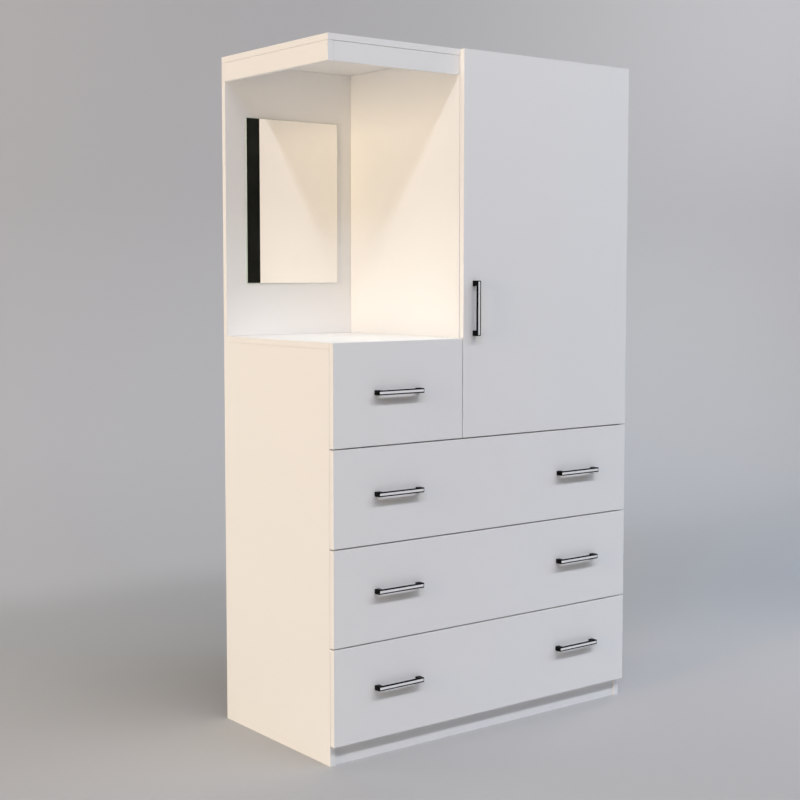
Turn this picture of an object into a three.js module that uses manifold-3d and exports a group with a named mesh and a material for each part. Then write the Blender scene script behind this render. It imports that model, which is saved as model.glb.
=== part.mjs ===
// Chifforobe: a low chest of drawers that carries an open mirror niche and a tall cupboard with a door.
// Millimetres, +Z up, the front faces -Y. The pieces are placed in the carcass frame, whose origin is the
// front left bottom corner of the carcass, and the whole is centred over its footprint at the end.

import * as THREE from 'three';
import { mergeVertices } from 'three/addons/utils/BufferGeometryUtils.js';
import Module from 'manifold-3d';

const wasm = await Module();
wasm.setup();

// Overall sizes
const carcassWidth = 1020;
const carcassHeight = 1800;
const carcassDepth = 498;

// Board stock
const board = 16;
const backSheet = 3.25;
const seam = 0.25;

// Carcass layout
const plinthHeight = 50;
const plinthSetback = 5;
const rearPlinthInset = 20;
const nicheWidth = 412;
const canopyDrop = 65.5;
const canopySetback = 1;
const rabbetWidth = 8;

// Fronts of the drawers and the door
const frontLift = 2;
const frontGap = 3;
const frontBuffer = 1;
const wideFrontHeight = 245;
const smallFrontHeight = 260;
const doorReveal = 1;

// Drawer boxes and their runners
const boxRearClearance = 45.25;
const boxHeight = 170;
const boxRise = 25;
const bottomSheet = 3.25;
const bottomGrooveRise = 10;
const bottomGrooveDepth = 8;
const runnerWidth = 12.25;
const runnerHeight = 45;
const runnerWall = 1.25;
const runnerLip = 5;
const runnerRise = 20;
const runnerPlay = 0.5;
const runnerSetback = 1;

// Bar handles
const handleLength = 144;
const handleProjection = 20;
const handleWidth = 12;
const handleBar = 5;
const handlePost = 14;
const handleRounding = 2;
const handleEdge = 0.5;
const stripWidth = 6;
const stripDepth = 0.75;
const handleInset = 197;
const bottomHandleRise = 131;
const lowerHandleRise = 129;
const middleHandleRise = 127;
const smallHandleRise = 133;
const doorHandleInset = 37;
const doorHandleRise = 338;

// Mirror on the niche back
const mirrorGlass = 4;
const mirrorLeftMargin = 63;
const mirrorRightMargin = 50;
const mirrorRise = 142;
const mirrorTopMargin = 140;

// Hanging rail in the cupboard
const railHeight = 30;
const railWidth = 15;
const railWall = 1.25;
const railDrop = 50;

// Concealed hinges
const cupRadius = 17.5;
const cupBoreDepth = 12.5;
const cupEdgeMargin = 4;
const cupWall = 1;
const cupPlay = 0.3;
const cupProud = 0.5;
const earThickness = 1;
const earWidth = 13;
const earReach = 31;
const earOverlap = 3;
const earOffset = 5.5;
const hingeEdgeDistance = 100;
const armWidth = 16;
const armHeight = 8;
const armLength = 60;
const armWall = 1.25;
const armFrontClearance = 0.75;
const armForkLength = 6;
const plateThickness = 2;
const plateReach = 50;
const plateLength = 30;
const plateSetback = 27;
const pinRadius = 1.25;
const pinPlay = 0.25;
const pinFromSide = 5;
const pinSetback = 2.5;
const linkThickness = 2;
const linkSidePlay = 1.25;
const eyeRadius = 2.5;
const linkTipFromCupWall = 3.7;
const linkTipDepth = 8;

// Roundness of turned and drilled shapes
const cupSegments = 32;
const pinSegments = 16;
const railSegments = 8;
const roundingSegments = 3;
const cutOverrun = 1;

// The wide drawers from the floor up, with the height of their handles over the front's lower edge
const wideDrawers = [
  { name: 'bottom_drawer', handleRise: bottomHandleRise },
  { name: 'lower_drawer', handleRise: lowerHandleRise },
  { name: 'middle_drawer', handleRise: middleHandleRise },
];

// Levels and edges that several pieces share
const topUnderside = carcassHeight - board;
const sideInner = carcassWidth - board;
const bottomTop = plinthHeight + board;
const frontRise = plinthHeight + frontLift;
const frontPitch = wideFrontHeight + frontGap;
const smallFrontBottom = frontRise + wideDrawers.length * frontPitch;
const middleTop = smallFrontBottom - frontGap / 2 + board / 2;
const shelfTop = smallFrontBottom + smallFrontHeight;
const shelfUnderside = shelfTop - board;
const railsUnderside = carcassHeight - canopyDrop;
const rabbetDepth = backSheet + seam;
const innerDepth = carcassDepth - rabbetDepth;
const frontBack = -frontBuffer;
const frontFace = frontBack - board;
const doorLeft = nicheWidth + doorReveal;
const smallFrontRight = doorLeft - frontGap;
const nicheBackFace = carcassDepth - board;
const boxFront = frontBack + seam;
const boxBack = innerDepth - boxRearClearance;
const boxDepth = boxBack - boxFront;

// Places that the parts of a hinge share
const cupCentreX = carcassWidth - cupEdgeMargin - cupRadius;
const pinX = sideInner - pinFromSide;
const forkGap = armWidth - 2 * armWall;
const hingeLevels = {
  lower: smallFrontBottom + hingeEdgeDistance,
  upper: carcassHeight - hingeEdgeDistance,
};

// Finishes
const white = new THREE.Color('#e9e7e2');
const finishes = {
  board: () => new THREE.MeshStandardMaterial({ color: white, roughness: 0.55, metalness: 0 }),
  sheet: () => new THREE.MeshStandardMaterial({ color: '#dcd8cf', roughness: 0.75, metalness: 0 }),
  black: () => new THREE.MeshStandardMaterial({ color: '#0c0c0d', roughness: 0.45, metalness: 0.2 }),
  mirror: () => new THREE.MeshStandardMaterial({ color: '#dfe4e2', roughness: 0.03, metalness: 1 }),
  steel: () => new THREE.MeshStandardMaterial({ color: '#b9bcc0', roughness: 0.35, metalness: 1 }),
};

const chifforobe = new THREE.Group();
const cabinet = new THREE.Group();
chifforobe.add(cabinet);

/** Adds a named piece to the cabinet and returns it. */
function addPiece(name, geometry, finish) {
  const mesh = new THREE.Mesh(geometry, finishes[finish]());
  mesh.name = name;
  cabinet.add(mesh);
  return mesh;
}

/** A square-edged board that fills the three spans, each given as [from, to]. */
function addBoard(name, finish, spanX, spanY, spanZ) {
  const spans = [spanX, spanY, spanZ];
  const size = spans.map(([from, to]) => to - from);
  const piece = addPiece(name, new THREE.BoxGeometry(...size), finish);
  piece.position.set(...spans.map(([from, to]) => (from + to) / 2));
  return piece;
}

/** A closed flat outline from a list of [x, y] corners. */
function outline(corners) {
  return new THREE.Shape(corners.map(([x, y]) => new THREE.Vector2(x, y)));
}

/** Turns a shape drawn in the X-Z plane and extruded along Z so that it runs along +Y instead. */
function layAlongY(geometry) {
  geometry.rotateX(Math.PI / 2);
  geometry.scale(1, -1, 1);
  return flipFaces(geometry);
}

/** Reverses every triangle, which a mirrored geometry needs to face outwards again. */
function flipFaces(geometry) {
  const flipped = geometry.index ? geometry.toNonIndexed() : geometry;
  const positions = flipped.getAttribute('position');
  const corner = new THREE.Vector3();
  const other = new THREE.Vector3();
  for (let i = 0; i < positions.count; i += 3) {
    corner.fromBufferAttribute(positions, i);
    other.fromBufferAttribute(positions, i + 1);
    positions.setXYZ(i, other.x, other.y, other.z);
    positions.setXYZ(i + 1, corner.x, corner.y, corner.z);
  }
  flipped.computeVertexNormals();
  return flipped;
}

/** A box between two corners, as a geometry in the carcass frame. */
function block([x0, y0, z0], [x1, y1, z1]) {
  const geometry = new THREE.BoxGeometry(x1 - x0, y1 - y0, z1 - z0);
  return geometry.translate((x0 + x1) / 2, (y0 + y1) / 2, (z0 + z1) / 2);
}

/** A closed geometry as a solid that can be joined and cut. */
function solid(geometry) {
  const bare = geometry.clone();
  bare.deleteAttribute('normal');
  bare.deleteAttribute('uv');
  const merged = mergeVertices(bare);
  const mesh = new wasm.Mesh({
    numProp: 3,
    vertProperties: new Float32Array(merged.getAttribute('position').array),
    triVerts: new Uint32Array(merged.index.array),
  });
  return new wasm.Manifold(mesh);
}

/** A solid back as a geometry. */
function toGeometry(shape) {
  const mesh = shape.getMesh();
  const geometry = new THREE.BufferGeometry();
  geometry.setAttribute('position', new THREE.BufferAttribute(mesh.vertProperties, 3));
  geometry.setIndex(new THREE.BufferAttribute(mesh.triVerts, 1));
  geometry.computeVertexNormals();
  return geometry;
}

/** An upright side panel with a rabbet for the back sheet along its inner rear edge. */
function addSidePanel(name, outerX, inward, height) {
  const shape = outline([
    [0, 0],
    [board, 0],
    [board, innerDepth],
    [board - rabbetWidth, innerDepth],
    [board - rabbetWidth, carcassDepth],
    [0, carcassDepth],
  ]);
  let geometry = new THREE.ExtrudeGeometry(shape, { depth: height - seam, bevelEnabled: false });
  if (inward < 0) {
    geometry.scale(-1, 1, 1);
    geometry = flipFaces(geometry);
  }
  addPiece(name, geometry, 'board').position.x = outerX;
}

/** The boards, back sheets and plinth. */
function addCarcass() {
  const between = [board + seam, sideInner - seam];
  const toBackSheet = [0, innerDepth];
  addSidePanel('left_side_panel', 0, 1, shelfUnderside);
  addSidePanel('right_side_panel', carcassWidth, -1, topUnderside);
  addBoard('bottom_panel', 'board', between, toBackSheet, [plinthHeight, bottomTop]);
  addBoard('middle_panel', 'board', between, toBackSheet, [middleTop - board, middleTop]);
  addBoard('divider_panel', 'board', [nicheWidth, nicheWidth + board], toBackSheet,
    [middleTop + seam, topUnderside - seam]);
  addBoard('niche_shelf_panel', 'board', [0, nicheWidth - seam], [0, carcassDepth],
    [shelfUnderside, shelfTop]);
  addBoard('top_panel', 'board', [0, carcassWidth], [0, carcassDepth], [topUnderside, carcassHeight]);
  addBoard('niche_back_panel', 'board', [0, nicheWidth - seam], [nicheBackFace, carcassDepth],
    [shelfTop + seam, topUnderside - seam]);

  const railSpan = [railsUnderside, topUnderside - seam];
  addBoard('canopy_side_rail', 'board', [0, board], [0, nicheBackFace - seam], railSpan);
  addBoard('canopy_front_rail', 'board', [board + seam, nicheWidth - seam],
    [canopySetback, canopySetback + board], railSpan);

  const sheetSpan = [carcassDepth - backSheet, carcassDepth];
  const sheetLeft = board - rabbetWidth + seam;
  const sheetRight = carcassWidth - sheetLeft;
  const sheetJoint = middleTop - board / 2;
  const dividerMiddle = nicheWidth + board / 2;
  addBoard('drawer_back_sheet', 'sheet', [sheetLeft, sheetRight], sheetSpan,
    [plinthHeight, sheetJoint - seam]);
  addBoard('small_drawer_back_sheet', 'sheet', [sheetLeft, dividerMiddle - seam], sheetSpan,
    [sheetJoint, shelfUnderside - seam]);
  addBoard('wardrobe_back_sheet', 'sheet', [dividerMiddle, sheetRight], sheetSpan,
    [sheetJoint, topUnderside - seam]);

  const plinthSpan = [0, plinthHeight - seam];
  const rearPlinthFace = innerDepth - rearPlinthInset;
  addBoard('front_plinth', 'board', between, [plinthSetback, plinthSetback + board], plinthSpan);
  addBoard('rear_plinth', 'board', between, [rearPlinthFace - board, rearPlinthFace], plinthSpan);
}

/** The frameless mirror, glued to the niche back. */
function addMirror() {
  const back = nicheBackFace - seam;
  addBoard('mirror', 'mirror', [mirrorLeftMargin, nicheWidth - mirrorRightMargin],
    [back - mirrorGlass, back], [shelfTop + mirrorRise, topUnderside - mirrorTopMargin]);
}

/** An upright oval drawn round the origin. */
function ovalPath(path, width, height) {
  const radius = width / 2;
  const straight = (height - width) / 2;
  path.absarc(0, straight, radius, 0, Math.PI, false);
  path.absarc(0, -straight, radius, Math.PI, 2 * Math.PI, false);
  path.closePath();
  return path;
}

/** The oval tube that clothes hang on, from the divider to the right side. */
function addHangingRail() {
  const section = ovalPath(new THREE.Shape(), railWidth, railHeight);
  section.holes.push(ovalPath(new THREE.Path(), railWidth - 2 * railWall, railHeight - 2 * railWall));
  const left = nicheWidth + board + seam;
  const length = sideInner - seam - left;
  const settings = { depth: length, bevelEnabled: false, curveSegments: railSegments };
  const geometry = new THREE.ExtrudeGeometry(section, settings);
  geometry.rotateY(Math.PI / 2);
  geometry.rotateX(Math.PI / 2);
  addPiece('hanging_rail', geometry, 'steel').position.set(left, innerDepth / 2, topUnderside - railDrop);
}

/** A handle along X with its feet at y = 0, reaching towards -Y, with the recess for its strip. */
function handleGeometry() {
  const half = handleLength / 2;
  const inner = half - handlePost;
  const reach = handleProjection;
  const shape = new THREE.Shape();
  shape.moveTo(-half, seam);
  shape.lineTo(-inner, seam);
  shape.lineTo(-inner, reach - handleBar);
  shape.lineTo(inner, reach - handleBar);
  shape.lineTo(inner, seam);
  shape.lineTo(half, seam);
  shape.lineTo(half, reach - handleRounding);
  shape.absarc(half - handleRounding, reach - handleRounding, handleRounding, 0, Math.PI / 2, false);
  shape.lineTo(-half + handleRounding, reach);
  shape.absarc(-half + handleRounding, reach - handleRounding, handleRounding, Math.PI / 2, Math.PI, false);
  shape.closePath();
  const geometry = new THREE.ExtrudeGeometry(shape, {
    depth: handleWidth,
    bevelEnabled: false,
    curveSegments: roundingSegments,
  });
  geometry.translate(0, 0, -handleWidth / 2);
  geometry.rotateX(Math.PI);
  const stripEnd = half - handleRounding - handleEdge;
  const recess = block(
    [-stripEnd, -reach - cutOverrun, -stripWidth / 2],
    [stripEnd, -reach + stripDepth, stripWidth / 2],
  );
  return toGeometry(solid(geometry).subtract(solid(recess)));
}

/** Adds a handle with its middle at x and z on the front faces, level or upright. */
function addHandle(name, x, z, upright) {
  const geometry = handleGeometry();
  if (upright) {
    geometry.rotateY(Math.PI / 2);
  }
  addPiece(name, geometry, 'black').position.set(x, frontFace, z);
}

/** The channel that a drawer runs in. Its web is against a panel and its mouth faces the drawer. */
function addRunner(name, panelFace, inward, bottom) {
  const lipInner = runnerWidth - runnerWall;
  const shape = outline([
    [0, 0],
    [runnerWidth, 0],
    [runnerWidth, runnerLip + runnerWall],
    [lipInner, runnerLip + runnerWall],
    [lipInner, runnerWall],
    [runnerWall, runnerWall],
    [runnerWall, runnerHeight - runnerWall],
    [lipInner, runnerHeight - runnerWall],
    [lipInner, runnerHeight - runnerLip - runnerWall],
    [runnerWidth, runnerHeight - runnerLip - runnerWall],
    [runnerWidth, runnerHeight],
    [0, runnerHeight],
  ]);
  const geometry = new THREE.ExtrudeGeometry(shape, { depth: boxDepth, bevelEnabled: false });
  let channel = layAlongY(geometry);
  if (inward < 0) {
    channel.scale(-1, 1, 1);
    channel = flipFaces(channel);
  }
  addPiece(name, channel, 'steel').position.set(panelFace + inward * seam, runnerSetback, bottom);
}

/** One side of a drawer box, with the groove that holds the bottom sheet. */
function addBoxSide(name, outerX, inward, bottom) {
  const grooveTop = bottomGrooveRise + bottomSheet + 2 * seam;
  const shape = outline([
    [0, 0],
    [board, 0],
    [board, bottomGrooveRise],
    [board - bottomGrooveDepth, bottomGrooveRise],
    [board - bottomGrooveDepth, grooveTop],
    [board, grooveTop],
    [board, boxHeight],
    [0, boxHeight],
  ]);
  const geometry = new THREE.ExtrudeGeometry(shape, { depth: boxDepth, bevelEnabled: false });
  let side = layAlongY(geometry);
  if (inward < 0) {
    side.scale(-1, 1, 1);
    side = flipFaces(side);
  }
  addPiece(name, side, 'board').position.set(outerX, boxFront, bottom);
}

/** A drawer: its front, its box, its handles and the cabinet's half of its runners. */
function addDrawer(drawer) {
  const { name, bay, front, bottom, height, handles } = drawer;
  const boxBottom = bottom + boxRise;
  const boxClearance = seam + runnerWidth + runnerPlay;
  const boxLeft = bay[0] + boxClearance;
  const boxRight = bay[1] - boxClearance;
  const sheetBottom = boxBottom + bottomGrooveRise + seam;
  const sheetTop = sheetBottom + bottomSheet;
  const grooveFloor = board - bottomGrooveDepth + seam;

  addBoard(`${name}_front`, 'board', front, [frontFace, frontBack], [bottom, bottom + height]);
  addBoxSide(`${name}_left_side`, boxLeft, 1, boxBottom);
  addBoxSide(`${name}_right_side`, boxRight, -1, boxBottom);
  addBoard(`${name}_back`, 'board', [boxLeft + board + seam, boxRight - board - seam],
    [boxBack - board, boxBack], [sheetTop + seam, boxBottom + boxHeight]);
  addBoard(`${name}_bottom`, 'sheet', [boxLeft + grooveFloor, boxRight - grooveFloor],
    [boxFront, boxBack], [sheetBottom, sheetTop]);
  addRunner(`${name}_left_runner`, bay[0], 1, boxBottom + runnerRise);
  addRunner(`${name}_right_runner`, bay[1], -1, boxBottom + runnerRise);
  for (const handle of handles) {
    addHandle(handle.name, handle.x, handle.z, false);
  }
}

/** The three wide drawers, from the floor up, and the small one at the upper left. */
function addDrawers() {
  wideDrawers.forEach(({ name, handleRise }, row) => {
    const bottom = frontRise + row * frontPitch;
    const z = bottom + handleRise;
    addDrawer({
      name,
      bay: [board, sideInner],
      front: [0, carcassWidth],
      bottom,
      height: wideFrontHeight,
      handles: [
        { name: `${name}_left_handle`, x: handleInset, z },
        { name: `${name}_right_handle`, x: carcassWidth - handleInset, z },
      ],
    });
  });
  addDrawer({
    name: 'small_drawer',
    bay: [board, nicheWidth],
    front: [0, smallFrontRight],
    bottom: smallFrontBottom,
    height: smallFrontHeight,
    handles: [{ name: 'small_drawer_handle', x: handleInset, z: smallFrontBottom + smallHandleRise }],
  });
}

/** The door with a blind bore for each hinge cup. */
function addDoor() {
  let door = solid(block([doorLeft, frontFace, smallFrontBottom], [carcassWidth, frontBack, carcassHeight]));
  for (const level of Object.values(hingeLevels)) {
    const bore = new THREE.CylinderGeometry(cupRadius, cupRadius, cupBoreDepth + cutOverrun, cupSegments);
    bore.translate(cupCentreX, frontBack + (cutOverrun - cupBoreDepth) / 2, level);
    door = door.subtract(solid(bore));
  }
  addPiece('door_panel', toGeometry(door), 'board');
  addHandle('door_handle', doorLeft + doorHandleInset, smallFrontBottom + doorHandleRise, true);
}

/** A hinge cup with its two fixing ears, flush in the door's bore. */
function addHingeCup(name, level) {
  const outer = cupRadius - cupPlay;
  const inner = outer - cupWall;
  const floor = -cupBoreDepth + cupPlay;
  const profile = [
    [0, floor],
    [outer, floor],
    [outer, cupProud],
    [inner, cupProud],
    [inner, floor + cupWall],
    [0, floor + cupWall],
  ];
  const points = profile.map(([radius, y]) => new THREE.Vector2(radius, y));
  let cup = solid(new THREE.LatheGeometry(points, cupSegments));
  for (const side of [-1, 1]) {
    const near = side * (outer - earOverlap);
    const far = side * earReach;
    const ear = block(
      [-earOffset - earWidth / 2, seam, Math.min(near, far)],
      [-earOffset + earWidth / 2, seam + earThickness, Math.max(near, far)],
    );
    cup = cup.add(solid(ear));
  }
  const hollow = new THREE.CylinderGeometry(inner, inner, cupBoreDepth, cupSegments);
  hollow.translate(0, floor + cupWall + cupBoreDepth / 2, 0);
  addPiece(name, toGeometry(cup.subtract(solid(hollow))), 'steel')
    .position.set(cupCentreX, frontBack, level);
}

/** A hinge arm: a channel on its mounting plate, forked at the front round the link's pin. */
function addHingeArm(name, level) {
  const armRight = sideInner - seam - plateThickness;
  const armLeft = armRight - armHeight;
  const pastArm = armRight + cutOverrun;
  const half = armWidth / 2;
  const halfGap = forkGap / 2;
  const bar = block([armLeft, armFrontClearance, -half], [armRight, armLength, half]);
  const hollow = block([armLeft + armWall, 0, -halfGap], [pastArm, armLength + cutOverrun, halfGap]);
  const fork = block([armLeft - cutOverrun, 0, -halfGap], [pastArm, armForkLength, halfGap]);
  const plate = block(
    [armRight - seam, plateSetback, -plateReach / 2],
    [sideInner - seam, plateSetback + plateLength, plateReach / 2],
  );
  const pin = new THREE.CylinderGeometry(pinRadius, pinRadius, armWidth, pinSegments);
  pin.rotateX(Math.PI / 2);
  pin.translate(pinX, pinSetback, 0);
  const channel = solid(bar).subtract(solid(hollow)).subtract(solid(fork));
  const arm = channel.add(solid(plate)).add(solid(pin));
  addPiece(name, toGeometry(arm), 'steel').position.z = level;
}

/** The link that turns on the arm's pin and reaches into the cup. */
function addHingeLink(name, level) {
  const tipX = cupCentreX - cupRadius + cupPlay + cupWall + linkTipFromCupWall - pinX;
  const tipY = frontBack - linkTipDepth - pinSetback;
  const reach = Math.hypot(tipX, tipY);
  const half = linkThickness / 2;
  const width = forkGap - 2 * linkSidePlay;
  const shape = new THREE.Shape();
  const neck = Math.asin(half / eyeRadius);
  shape.absarc(0, 0, eyeRadius, neck, 2 * Math.PI - neck, false);
  shape.lineTo(reach, -half);
  shape.absarc(reach, 0, half, -Math.PI / 2, Math.PI / 2, false);
  shape.closePath();
  const bore = new THREE.Path();
  bore.absarc(0, 0, pinRadius + pinPlay, 0, 2 * Math.PI, true);
  shape.holes.push(bore);
  const settings = { depth: width, bevelEnabled: false, curveSegments: pinSegments / 2 };
  const geometry = new THREE.ExtrudeGeometry(shape, settings);
  geometry.translate(0, 0, -width / 2);
  geometry.rotateZ(Math.atan2(tipY, tipX));
  addPiece(name, geometry, 'steel').position.set(pinX, pinSetback, level);
}

/** The two concealed hinges. */
function addHinges() {
  for (const [place, level] of Object.entries(hingeLevels)) {
    addHingeCup(`${place}_hinge_cup`, level);
    addHingeArm(`${place}_hinge_arm`, level);
    addHingeLink(`${place}_hinge_link`, level);
  }
}

addCarcass();
addMirror();
addHangingRail();
addDrawers();
addDoor();
addHinges();

// The origin is on the floor under the middle of the whole footprint, handles included
const frontmost = frontFace - handleProjection;
cabinet.position.set(-carcassWidth / 2, -(frontmost + carcassDepth) / 2, 0);
chifforobe.updateMatrixWorld(true);

export default chifforobe;
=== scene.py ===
"""A white board chifforobe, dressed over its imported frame.

Wide drawers carry a mirror niche with a small drawer under it at the left, and a cupboard with one
door at the right. Every board, handle and fitting that shows is modelled over the solid that it
stands for. All sizes are in metres, the fronts face -Y and +Z is up.
"""

import logging
import math
from collections.abc import Callable, Iterable, Iterator
from contextlib import contextmanager
from dataclasses import dataclass
from enum import Enum, IntEnum

import bpy
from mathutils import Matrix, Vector


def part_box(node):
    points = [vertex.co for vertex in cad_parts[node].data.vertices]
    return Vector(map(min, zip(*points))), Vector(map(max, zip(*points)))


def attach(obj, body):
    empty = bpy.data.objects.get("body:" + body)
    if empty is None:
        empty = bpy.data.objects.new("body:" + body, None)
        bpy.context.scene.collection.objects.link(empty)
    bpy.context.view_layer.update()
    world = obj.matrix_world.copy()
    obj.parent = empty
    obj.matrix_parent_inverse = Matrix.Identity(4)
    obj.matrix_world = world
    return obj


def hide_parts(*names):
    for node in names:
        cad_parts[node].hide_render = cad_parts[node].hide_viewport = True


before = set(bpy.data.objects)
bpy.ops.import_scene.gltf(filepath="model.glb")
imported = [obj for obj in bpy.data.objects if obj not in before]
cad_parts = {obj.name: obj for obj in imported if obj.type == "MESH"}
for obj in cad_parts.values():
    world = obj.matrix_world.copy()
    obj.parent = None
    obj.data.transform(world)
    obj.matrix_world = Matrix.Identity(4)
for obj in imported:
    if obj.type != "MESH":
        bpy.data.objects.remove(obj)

LOG = logging.getLogger("chifforobe")

# A colour with its alpha, and a place, a turn or a lamp's colour
Paint = tuple[float, float, float, float]
Triple = tuple[float, float, float]

MM = 0.001
QUARTER_TURN = math.pi / 2
# Two places closer than this are one
NEAR = 0.01 * MM
# Two directions with a larger cosine than this between them are one
ALIGNED = 0.99
# An edge that turns by more than this is sharp
SHARP = math.radians(35)
# How far a cutting tool stands past the face that it enters by
OVERRUN = 1 * MM
# The hairline between a front and the boards beside it, at its two ends along X, Y and Z
FRONT_JOINT = (0.1 * MM, 0.0, 0.3 * MM)

WIDE_DRAWERS = ("bottom_drawer", "lower_drawer", "middle_drawer")
SMALL_DRAWER = "small_drawer"


class Side(Enum):
    """The six directions that a face of a board can look in."""

    LEFT = (-1, 0, 0)
    RIGHT = (1, 0, 0)
    FRONT = (0, -1, 0)
    BACK = (0, 1, 0)
    BELOW = (0, 0, -1)
    ABOVE = (0, 0, 1)

    @property
    def way(self) -> Vector:
        """The direction as a vector."""
        return Vector(self.value)

    @property
    def opposite(self) -> "Side":
        """The direction across from this one."""
        return Side(tuple(-i for i in self.value))

    @property
    def word(self) -> str:
        """The direction as the names of nodes and pieces say it."""
        return self.name.lower()

    def faces(self, face: bpy.types.MeshPolygon) -> bool:
        """Whether a face looks this way."""
        return face.normal.dot(self.way) > ALIGNED


HANDS = (Side.LEFT, Side.RIGHT)


class Axis(Enum):
    """The three axes of the frame, by their index in a vector."""

    X = 0
    Y = 1
    Z = 2

    @property
    def turn(self) -> Triple:
        """The XYZ angles that lay an upright rod along this axis."""
        turns = {Axis.X: (0, QUARTER_TURN, 0), Axis.Y: (-QUARTER_TURN, 0, 0), Axis.Z: (0, 0, 0)}
        return turns[self]


@dataclass(frozen=True)
class Span:
    """An upright box between its lowest and its highest corner."""

    low: Vector
    high: Vector

    @classmethod
    def of(cls, node: str) -> "Span":
        """The box of a CAD node at rest."""
        return cls(*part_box(node))

    @classmethod
    def around(cls, centre: Iterable[float], size: Iterable[float]) -> "Span":
        """The box of a given size round its centre."""
        half = Vector(size) / 2
        return cls(Vector(centre) - half, Vector(centre) + half)

    @classmethod
    def between(cls, corner: Iterable[float], other: Iterable[float]) -> "Span":
        """The box between two opposite corners, whichever they are."""
        pairs = [sorted(pair) for pair in zip(corner, other)]
        return cls(Vector([low for low, _ in pairs]), Vector([high for _, high in pairs]))

    @property
    def centre(self) -> Vector:
        """The middle of the box."""
        return (self.low + self.high) / 2

    @property
    def size(self) -> Vector:
        """The extent along X, Y and Z."""
        return self.high - self.low

    @property
    def thin_axis(self) -> Axis:
        """The axis along which the box is thinnest."""
        return Axis(min(range(3), key=lambda i: self.size[i]))

    def end(self, side: Side) -> float:
        """The coordinate at which the box ends on a side."""
        corner = self.high if sum(side.value) > 0 else self.low
        return next(corner[i] for i in range(3) if side.value[i])

    def grown(self, margin: Iterable[float]) -> "Span":
        """The box with a margin along X, Y and Z added at both ends, or taken off where it is negative."""
        return Span(self.low - Vector(margin), self.high + Vector(margin))


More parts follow.
